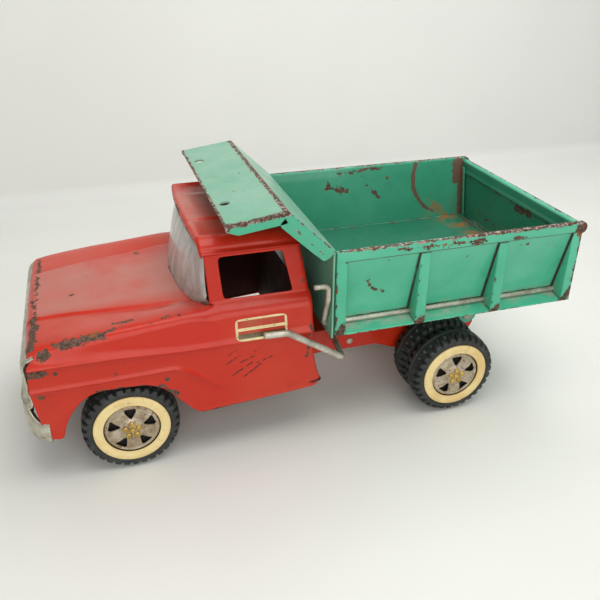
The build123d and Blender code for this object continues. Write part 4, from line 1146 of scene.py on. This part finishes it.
def wheel_nuts(name, axle_x, side, outer, body):
    """Five round nuts and the axle's end in the middle of the hubcap."""
    rim = outer - HUBCAP_INSET
    steps = 12
    parts = []
    for i in range(OPENINGS + 1):
        turn = 2 * math.pi * i / OPENINGS + math.pi / 2
        reach, size = (NUT_RING_R, 1.9) if i < OPENINGS else (0.0, 1.8)
        cx, cz = axle_x + reach * math.cos(turn), AXLE_Z + reach * math.sin(turn)
        verts = [(u, side * (rim + y), v) for y, r in NUT for u, v in circle(cx, cz, r * size, steps)]
        faces = grid_faces(len(NUT), steps, close_columns=True)
        faces.append(tuple(range(steps)))
        faces.append(tuple(range(len(verts) - 1, len(verts) - steps - 1, -1)))
        parts.append(recalc_normals(new_object("nut", verts, faces)))
    nuts = smooth_by_angle(join(name, parts), 50)
    dress(nuts, "nut_brass", body)


# tyres at each end: piece name, CAD node name and the distance of the outer face from the middle
TYRES = {
    "front": [("front_tyre", "tyre_front", 66.0)],
    "rear": [("rear_outer_tyre", "tyre_rear_outer", 71.0), ("rear_inner_tyre", "tyre_rear_inner", 51.0)],
}
for side_name, side in SIDES.items():
    for end, axle_x in (("front", FRONT_AXLE.x), ("rear", REAR_AXLE.x)):
        wheel_body = f"wheel_{end}_{side_name}"
        for piece, node, face in TYRES[end]:
            tyre(f"{piece}_{side_name}", axle_x, side, face, wheel_body, f"{node}_{side_name}")
        face = TYRES[end][0][2]
        for make, kind in ((whitewall, "whitewall"), (hubcap, "hubcap")):
            make(f"{end}_{kind}_{side_name}", axle_x, side, face, wheel_body, f"{kind}_{end}_{side_name}")
        wheel_nuts(f"{end}_wheel_nuts_{side_name}", axle_x, side, face, wheel_body)


# =====================================================================
# Bed: pressed sides, shield over the cab, tailgate
# =====================================================================

HALF_WIDTH = 74.0
BED_FRONT = -7.5
BED_REAR = -168.5
RAIL_TOP = 126.0
RAIL_BOTTOM = 119.5
PANEL_TOP_Y = 73.0
CREASE = (62.0, 75.0)
RIB_W = 6.5
RIB_FACE = 73.7
RIB_CENTRES = (-10.75, -62.25, -113.75, -165.25)
LEDGE_EDGE = 72.0
FLOOR_TOP = 82.0


def panel_y(z):
    """Outer face of the sloping side panel."""
    return between([CREASE[::-1], (RAIL_BOTTOM, PANEL_TOP_Y)], z)


def bed_side(side):
    """Pressed side: sloping wall with its rail and ledge, four ribs, the rear flange and the hinge ear."""
    wall = [
        (71.0, RAIL_TOP), (HALF_WIDTH, RAIL_TOP), (HALF_WIDTH, RAIL_BOTTOM), (PANEL_TOP_Y, RAIL_BOTTOM),
        CREASE, (HALF_WIDTH, LEDGE_EDGE + 1.0), (HALF_WIDTH, LEDGE_EDGE), (60.8, 74.0),
        (69.9, RAIL_BOTTOM - 1.0),
    ]
    rib = [(PANEL_TOP_Y - 0.4, RAIL_BOTTOM + 1.5), (RIB_FACE, RAIL_BOTTOM + 1.5),
           (RIB_FACE, LEDGE_EDGE + 0.1), (CREASE[0] - 0.4, 74.4)]
    flange = [(PANEL_TOP_Y - 0.8, RAIL_BOTTOM), (65.0, RAIL_BOTTOM), (panel_y(83) - 6.0, FLOOR_TOP + 0.3),
              (panel_y(82) - 0.6, FLOOR_TOP + 0.3)]
    ear = [(-163.0, RAIL_TOP - 0.1), (-168.0, RAIL_TOP - 0.1), (-170.2, 125.0), (-171.3, 123.2),
           (-171.4, 121.0), (-170.3, 119.0), (-168.4, 118.2), (-163.0, 118.2)]
    # outline, its plane, from, to, bevel width and bevel segments
    solids = [(wall, "x", BED_FRONT, BED_REAR, 0.45, 3)]
    solids += [(rib, "x", centre - RIB_W / 2, centre + RIB_W / 2, 0.8, 3) for centre in RIB_CENTRES]
    solids += [(flange, "x", -164.4, -163.4, 0.3, 2), (ear, "y", side * 71.2, side * 73.8, 0.6, 3)]
    pieces = []
    for outline, plane, start, end, width, segments in solids:
        if plane == "x":
            outline = [(side * y, z) for y, z in outline]
        pieces.append(bevel_edges(prism("solid", outline, plane, start, end), width, segments))
    return smooth_by_angle(join("bed_wall", pieces), 40)


KNEE = (20.5, 151.9)
SHIELD_FRONT = (54.6, 147.4)
WALL_FRONT_X = -6.4
WALL_BOTTOM = 71.0
FOLD = [(0.0, 0.0), (0.45, 0.12), (0.8, 0.4), (0.98, 0.9)]    # rounded edge of the sheet: (out, down)
SHIELD_COLUMNS = [0.0, 20.0, 36.0, 41.6, 48.0, 62.0, 71.0]
SHIELD_HALF = 73.9
HOLE_X = 48.0
HOLE_Y = 41.6
HOLE_R = 3.0


def cab_shield():
    """One sheet: front wall, slope, shelf over the roof, and turned-down sides split at the knee."""
    knee = Vector(KNEE)
    foot = Vector((WALL_FRONT_X, RAIL_TOP))
    slope = (knee - foot).normalized()
    flat = (Vector(SHIELD_FRONT) - knee).normalized()
    above_slope = Vector((-slope.y, slope.x))
    above_flat = Vector((-flat.y, flat.x))
    above_knee = (above_slope + above_flat).normalized()
    slope_end = (knee - foot).length
    flat_end = (Vector(SHIELD_FRONT) - knee).length

    def section(point, up, depth):
        """Points across the sheet at one station: (y, x, z) with the side folded down to depth."""
        row = [(y, *(point + up)) for y in SHIELD_COLUMNS]
        for out, down in FOLD:
            row.append((SHIELD_HALF - 1.0 + out, *(point + up * (1.0 - down))))
        row.append((SHIELD_HALF, *(point + up * (1.0 - depth * 0.5))))
        row.append((SHIELD_HALF, *(point + up * (1.0 - depth))))
        return row

    # distance along the sheet and depth of its turned-down side
    slope_stations = [(0.6, 5.5), (2.0, 8.6), (10.0, 9.0), (20.0, 9.0), (slope_end - 2.2, 9.0),
                      (slope_end - 0.5, 7.6)]
    flat_stations = [(0.5, 5.4), (2.2, 6.4), (14.0, 6.4), (28.0, 6.4), (flat_end, 3.2)]
    halves = [
        [section(foot + slope * s, above_slope, depth) for s, depth in slope_stations],
        [section(knee + flat * s, above_flat, depth) for s, depth in flat_stations],
    ]
    count = len(halves[0][0])
    sheet_columns = len(SHIELD_COLUMNS) + 2
    knee_row = [(y, *(knee + above_knee * 0.95)) for y in SHIELD_COLUMNS]
    knee_row += [(SHIELD_HALF - 1.0 + out, *(knee + above_knee * (0.95 - down))) for out, down in FOLD[:2]]
    wall_rows = [[(y, WALL_FRONT_X, z) for y in SHIELD_COLUMNS + [72.9, 73.4]]
                 for z in (WALL_BOTTOM, 90.0, 110.0, 124.0, 125.6)]

    verts = []
    faces = []

    def strip(rows, columns):
        start = len(verts)
        for row in rows:
            verts.extend((x, y, z) for y, x, z in row[:columns])
        for face in grid_faces(len(rows), columns):
            faces.append([start + i for i in face])

    strip(wall_rows + [halves[0][0]], sheet_columns)
    strip(halves[0], count)
    strip([halves[0][-1], knee_row, halves[1][0]], sheet_columns)
    strip(halves[1], count)
    obj = new_object("shield_sheet", verts, faces)
    add_modifier(obj, "MIRROR", use_axis=(False, True, False), merge_threshold=1e-5)
    apply_modifiers(obj)
    recalc_normals(obj)
    upward = sum(p.normal.z for p in obj.data.polygons)
    add_modifier(obj, "SOLIDIFY", thickness=1.0 * MM, offset=-1.0 if upward > 0 else 1.0)
    apply_modifiers(obj)
    cut(obj, [prism("cutter", circle(HOLE_X, y, HOLE_R, 24), "z", 140, 160) for y in (HOLE_Y, -HOLE_Y)])
    return smooth_by_angle(obj, 30)


GATE_X = -167.5
GATE_Z = 122.0
GATE_SHEET_X = -165.4
ROLL_R = 2.1


def tailgate():
    """Sheet with a foot lip, a crease below the top and a roll around the hinge rod."""
    path = [(-168.0, 79.6), (-166.2, 79.4), (-165.5, 80.2), (GATE_SHEET_X, 82.0), (GATE_SHEET_X, 100.0),
            (GATE_SHEET_X, 113.4), (GATE_SHEET_X + 0.2, 114.4), (GATE_SHEET_X + 0.8, 115.2),
            (GATE_SHEET_X + 0.8, 116.2), (GATE_SHEET_X + 0.2, 117.2), (GATE_SHEET_X, 118.4)]
    path += [(GATE_X + ROLL_R * math.cos(math.radians(a)), GATE_Z + ROLL_R * math.sin(math.radians(a)))
             for a in range(0, 300, 20)]
    verts = []
    steps = 12
    for x, z in path:
        half = between([(79.0, 61.4), (117.5, 70.3)], z)
        verts += [(x, half * (2 * k / steps - 1), z) for k in range(steps + 1)]
    obj = new_object("gate_sheet", verts, grid_faces(len(path), steps + 1))
    add_modifier(obj, "SOLIDIFY", thickness=0.95 * MM, offset=0.0)
    bevel_edges(obj, 0.2, angle=60)
    apply_modifiers(obj)
    return smooth_by_angle(obj, 45)


for side_name, side in SIDES.items():
    wall = bed_side(side)
    wall.name = f"bed_wall_{side_name}"
    dress(wall, f"green_{side_name}", "bed", replaces=[f"bed_side_{side_name}"])
dress(cab_shield(), "shield_enamel", "bed", replaces=["cab_shield"])
dress(tailgate(), "green_gate", "tailgate", replaces=["tailgate"])


# =====================================================================
# Bent wires, windshield and badges
# =====================================================================

LATCH_POINTS = [(-170.2, 55.81, 68.01), (-170.2, 64.3, 76.5), (-3.3, 64.3, 76.5), (-3.3, 72.2, 96.5),
                (-3.3, 72.3, 105.2), (5.3, 71.6, 105.2)]
LEVER_POINTS = [(34.8, 71.4, 78.6), (20.5, 71.4, 78.0), (-13.5, 71.4, 55.4), (-22, 33.5, 45), (-22, 0, 45),
                (-34, 0, 57), (-104, 0, 57), (-104, -21.2, 57)]

latch_wire = tube("latch_wire", LATCH_POINTS, 1.55, [1.68, 3.0, 3.0, 3.0])
dress(latch_wire, "plain_steel", "latch", replaces=["latch_rod"])
lever_wire = tube("lever_wire", LEVER_POINTS, 1.95, [4.0] * 6)
dress(lever_wire, "plain_steel", "lever", replaces=["dump_lever"])


def windshield():
    """Wrapped clear screen standing between the hood and the roof lip."""
    columns = 24
    rows = 12
    verts = []
    for r in range(rows + 1):
        t = r / rows
        reach = 1.0 - 0.10 * max(0.0, 1 - t / 0.16) ** 2
        for c in range(columns + 1):
            u = (2 * c / columns - 1) * reach
            base = Vector((77.0 - 13.6 * u * u * (0.55 + 0.45 * u * u), 56.2 * u, 92.4 + 3.2 * u ** 4))
            top = Vector((67.0 - 3.8 * u * u, 53.6 * u, 127.6 - 0.6 * u * u))
            point = base.lerp(top, t)
            point.x += 0.9 * math.sin(math.pi * t)
            verts.append(point)
    obj = new_object("screen", verts, grid_faces(rows + 1, columns + 1))
    add_modifier(obj, "SOLIDIFY", thickness=0.8 * MM, offset=0.0)
    return apply_modifiers(obj)


dress(windshield(), "clear_plastic", "chassis", replaces=["windshield"])

BUMPER_X = 171.6
BUMPER_FLAT = 48.0
BUMPER_TIP = (157.6, 67.8)
CORNER_R = 22.6
CORNER_TURN = math.radians(59.1)
SLOTS = 5
LOWEST_SLOT_Z = 58.1
SLOT_PITCH = 4.2
SLOT_HEIGHT = 1.8
SLOT_REACH = 35
GRILLE_FACE = [(159.8, 83.4), (161.9, 82.4), (164.4, 80.9), (166.0, 79.2), (166.6, 77.0), (166.6, 74.5),
               (166.3, 70.0), (165.8, 62.5), (165.3, 57.5), (165.1, 54.5), (165.6, 53.0), (166.6, 52.4)]


def bumper_plan():
    """Line of the bumper seen from above, from its middle to its left tip."""
    plan = [Vector((BUMPER_X, y)) for y in (0.0, 16.0, 32.0, 44.0, BUMPER_FLAT)]
    for step in range(1, 9):
        turn = CORNER_TURN * step / 8
        x = BUMPER_X - CORNER_R * (1 - math.cos(turn))
        plan.append(Vector((x, BUMPER_FLAT + CORNER_R * math.sin(turn))))
    plan.append(Vector(BUMPER_TIP))
    return plan


def grille():
    """Bright face below the hood nose with five slots, and the bumper with its rolled top."""
    plan = bumper_plan()
    half = [0.0, 12.0, 24.0, 36.0, 46.0, 54.0, 60.0, 63.0, 65.0, 66.2]
    columns = [-y for y in reversed(half[1:])] + half
    verts = []
    for x, z in GRILLE_FACE:
        for y in columns:
            verts.append((x - 1.3 * max(0.0, (abs(y) - 60.0) / 6.2) ** 2, y, z))
    shelf = [(0.45, 52.1), (0.9, 52.0)]
    for share, z in shelf:
        for y in columns:
            reach = BUMPER_X - 0.8
            if abs(y) > BUMPER_FLAT:
                turn = math.asin(min(1.0, (abs(y) - BUMPER_FLAT) / CORNER_R))
                reach = BUMPER_X - CORNER_R * (1 - math.cos(turn)) - 0.8
            verts.append((166.6 + (max(reach, 167.0) - 166.6) * share, y, z))
    face = new_object("grille_face", verts, grid_faces(len(GRILLE_FACE) + 2, len(columns)))
    add_modifier(face, "SUBSURF", levels=1, render_levels=1)
    add_modifier(face, "SOLIDIFY", thickness=0.9 * MM, offset=0.0)
    apply_modifiers(face)
    slots = []
    for k in range(SLOTS):
        low = LOWEST_SLOT_Z + SLOT_PITCH * k
        high = low + SLOT_HEIGHT
        outline = [(-SLOT_REACH, low), (SLOT_REACH, low), (SLOT_REACH, high), (-SLOT_REACH, high)]
        slots.append(prism("cutter", outline, "x", 158, 170))
    cut(face, slots)

    verts = []
    mirrored = [Vector((p.x, -p.y)) for p in reversed(plan[1:])] + plan
    for i, point in enumerate(mirrored):
        before = mirrored[max(i - 1, 0)]
        after = mirrored[min(i + 1, len(mirrored) - 1)]
        along = (after - before).normalized()
        outward = Vector((along.y, -along.x))
        top = 52.0 - 11.6 * ease((abs(point.y) - 56.0) / 11.0)
        section = [(-2.6, top - 0.2), (-1.0, top), (-0.2, top - 0.7), (0.0, top - 1.5), (-0.9, top - 2.6),
                   (-0.2, top - 3.6), (0.0, (top + 27.0) / 2), (-0.2, 30.0), (-0.9, 27.6), (-2.4, 27.0)]
        for out, z in section:
            place = point + outward * out
            verts.append((place.x, place.y, z))
    blade = new_object("bumper_blade", verts, grid_faces(len(mirrored), 10))
    add_modifier(blade, "SUBSURF", levels=1, render_levels=1)
    recalc_normals(blade)
    add_modifier(blade, "SOLIDIFY", thickness=0.9 * MM, offset=-1.0)
    return smooth_by_angle(join("front_trim", [face, blade]), 50)


dress(grille(), "nickel_plate", "chassis", replaces=["grille_bumper"])

STICKER_HALF_LENGTH = 15.4
STICKER_HALF_HEIGHT = 6.6
STICKER_SQUARENESS = 7.0


def sticker(side):
    """Plain badge with rounded corners (a superellipse), laid on the door's surface."""
    tree = BVHTree.FromObject(cab_body, bpy.context.evaluated_depsgraph_get())
    steps = 64
    verts = []
    for scale in (1.0, 0.9, 0.7, 0.45, 0.2):
        for k in range(steps):
            c = math.cos(2 * math.pi * k / steps)
            s = math.sin(2 * math.pi * k / steps)
            power = 2 / STICKER_SQUARENESS
            x = STICKER_X + STICKER_HALF_LENGTH * scale * math.copysign(abs(c) ** power, c)
            z = STICKER_Z + STICKER_HALF_HEIGHT * scale * math.copysign(abs(s) ** power, s)
            start = Vector((x, side * 90.0, z + LIFT)) * MM
            hit = tree.ray_cast(start, Vector((0, -side, 0)))[0]
            verts.append((x, hit.y / MM + side * 0.18, z))
    faces = grid_faces(5, steps, close_columns=True)
    faces.append([4 * steps + k for k in range(steps)])
    obj = new_object("badge", verts, faces)
    recalc_normals(obj)
    add_modifier(obj, "SOLIDIFY", thickness=0.14 * MM, offset=0.0)
    return apply_modifiers(obj)


for side_name, side in SIDES.items():
    badge = sticker(side)
    badge.name = f"badge_{side_name}"
    dress(badge, "sticker_film", "chassis", replaces=[f"door_sticker_{side_name}"])


# =====================================================================
# Finishes of the CAD nodes that are shown as they are
# =====================================================================

def material_for(node):
    """The record's finish for a CAD node; the cab's back panel gets the cab's inside material, a dark red that is
    painted shade.
    """
    if node == "cab_back_panel":
        return "cab_inside"
    return next(s["material_slot"] for s in frame["record"]["subparts"] if s["node"] == node)


for node, obj in frame["nodes"].items():
    obj.data.materials.clear()
    obj.data.materials.append(MATERIALS[material_for(node)])


# =====================================================================
# Stage, light and camera
# =====================================================================

def stage_paper():
    """Pale paper that shows only from its front, so that it never hides the toy from a camera behind it."""
    n = Nodes("stage_paper")
    pale = srgb(226, 226, 220)
    duller = tuple(c * 0.97 for c in pale[:3]) + (1.0,)
    paper = n.principled(Base_Color=n.mix(n.ramp(n.noise(6, 2), 0.3, 0.7), pale, duller), Roughness=0.55)
    behind = n.add("ShaderNodeNewGeometry").outputs["Backfacing"]
    n.blend_shaders(behind, paper, n.add("ShaderNodeBsdfTransparent"))
    return n.material


def build_stage():
    """Pale floor, wide on every side, and a wall that rises from it behind the toy."""
    reach = 4000.0
    floor_rows = [(reach, 0.0), (-370.0, 0.0), (-reach, 0.0)]
    wall_rows = [(-370.0, 0.3), (-410.0, 2.0), (-430.0, 18.0), (-430.0, 1500.0)]
    paper = stage_paper()
    for name, rows in (("stage", floor_rows), ("stage_wall", wall_rows)):
        verts = [(x, y, z - LIFT) for y, z in rows for x in (reach, -reach)]
        piece = new_object(name, verts, grid_faces(len(rows), 2))
        piece.data.materials.append(paper)


def area_light(name, place_mm, target_mm, size_mm, watts, colour):
    data = bpy.data.lights.new(name, "AREA")
    data.shape = "RECTANGLE"
    data.size = size_mm[0] * MM
    data.size_y = size_mm[1] * MM
    data.energy = watts
    data.color = colour
    obj = bpy.data.objects.new(name, data)
    obj.location = Vector(place_mm) * MM
    obj.rotation_euler = (Vector(target_mm) - Vector(place_mm)).to_track_quat("-Z", "Y").to_euler()
    bpy.context.scene.collection.objects.link(obj)


def build_light():
    """Sky that fades towards the horizon, a pale backdrop for the camera, and three large soft lights."""
    world = bpy.data.worlds.new("studio")
    bpy.context.scene.world = world
    world.use_nodes = True
    tree = world.node_tree
    sky = tree.nodes["Background"]
    direction = tree.nodes.new("ShaderNodeTexCoord")
    split = tree.nodes.new("ShaderNodeSeparateXYZ")
    fade = tree.nodes.new("ShaderNodeMapRange")
    fade.inputs["From Max"].default_value = 0.9
    colour = tree.nodes.new("ShaderNodeMix")
    colour.data_type = "RGBA"
    colour.inputs["A"].default_value = (0.22, 0.22, 0.21, 1.0)
    colour.inputs["B"].default_value = (0.56, 0.58, 0.60, 1.0)
    backdrop = tree.nodes.new("ShaderNodeBackground")
    backdrop.inputs["Color"].default_value = srgb(222, 222, 216)
    rays = tree.nodes.new("ShaderNodeLightPath")
    mix = tree.nodes.new("ShaderNodeMixShader")
    links = [
        (direction.outputs["Generated"], split.inputs[0]),
        (split.outputs["Z"], fade.inputs["Value"]),
        (fade.outputs["Result"], colour.inputs["Factor"]),
        (next(o for o in colour.outputs if o.type == "RGBA"), sky.inputs["Color"]),
        (rays.outputs["Is Camera Ray"], mix.inputs[0]),
        (sky.outputs[0], mix.inputs[1]),
        (backdrop.outputs[0], mix.inputs[2]),
        (mix.outputs[0], tree.nodes["World Output"].inputs["Surface"]),
    ]
    for source, target in links:
        tree.links.new(source, target)
    area_light("key", (-120, 220, 900), (-20, 0, 40), (700, 500), 3.8, (1.0, 0.98, 0.95))
    area_light("rear", (-300, -300, 800), (-40, 0, 60), (600, 400), 2.2, (0.96, 0.98, 1.0))
    area_light("fill", (60, 900, 420), (-20, 0, 60), (900, 600), 3.8, (1.0, 0.99, 0.96))


def build_camera():
    """Camera at the height and angle from which the toy is seen, a little off its left front."""
    target = Vector((-24.1, -49.5, 30.9 + LIFT))
    away = Vector((0.2611, 0.8424, 0.4714)).normalized()
    distance = 530.2
    roll = math.radians(0.18)
    data = bpy.data.cameras.new("camera")
    data.lens = 41.08
    data.sensor_width = 36.0
    data.clip_start = 0.01
    obj = bpy.data.objects.new("camera", data)
    bpy.context.scene.collection.objects.link(obj)
    obj.location = (target + away * distance) * MM
    look = (-away).to_track_quat("-Z", "Y").to_matrix()
    obj.rotation_euler = (look @ Matrix.Rotation(roll, 3, "Z")).to_euler()
    bpy.context.scene.camera = obj


build_stage()
build_light()
build_camera()

bpy.context.scene.view_settings.view_transform = "Standard"
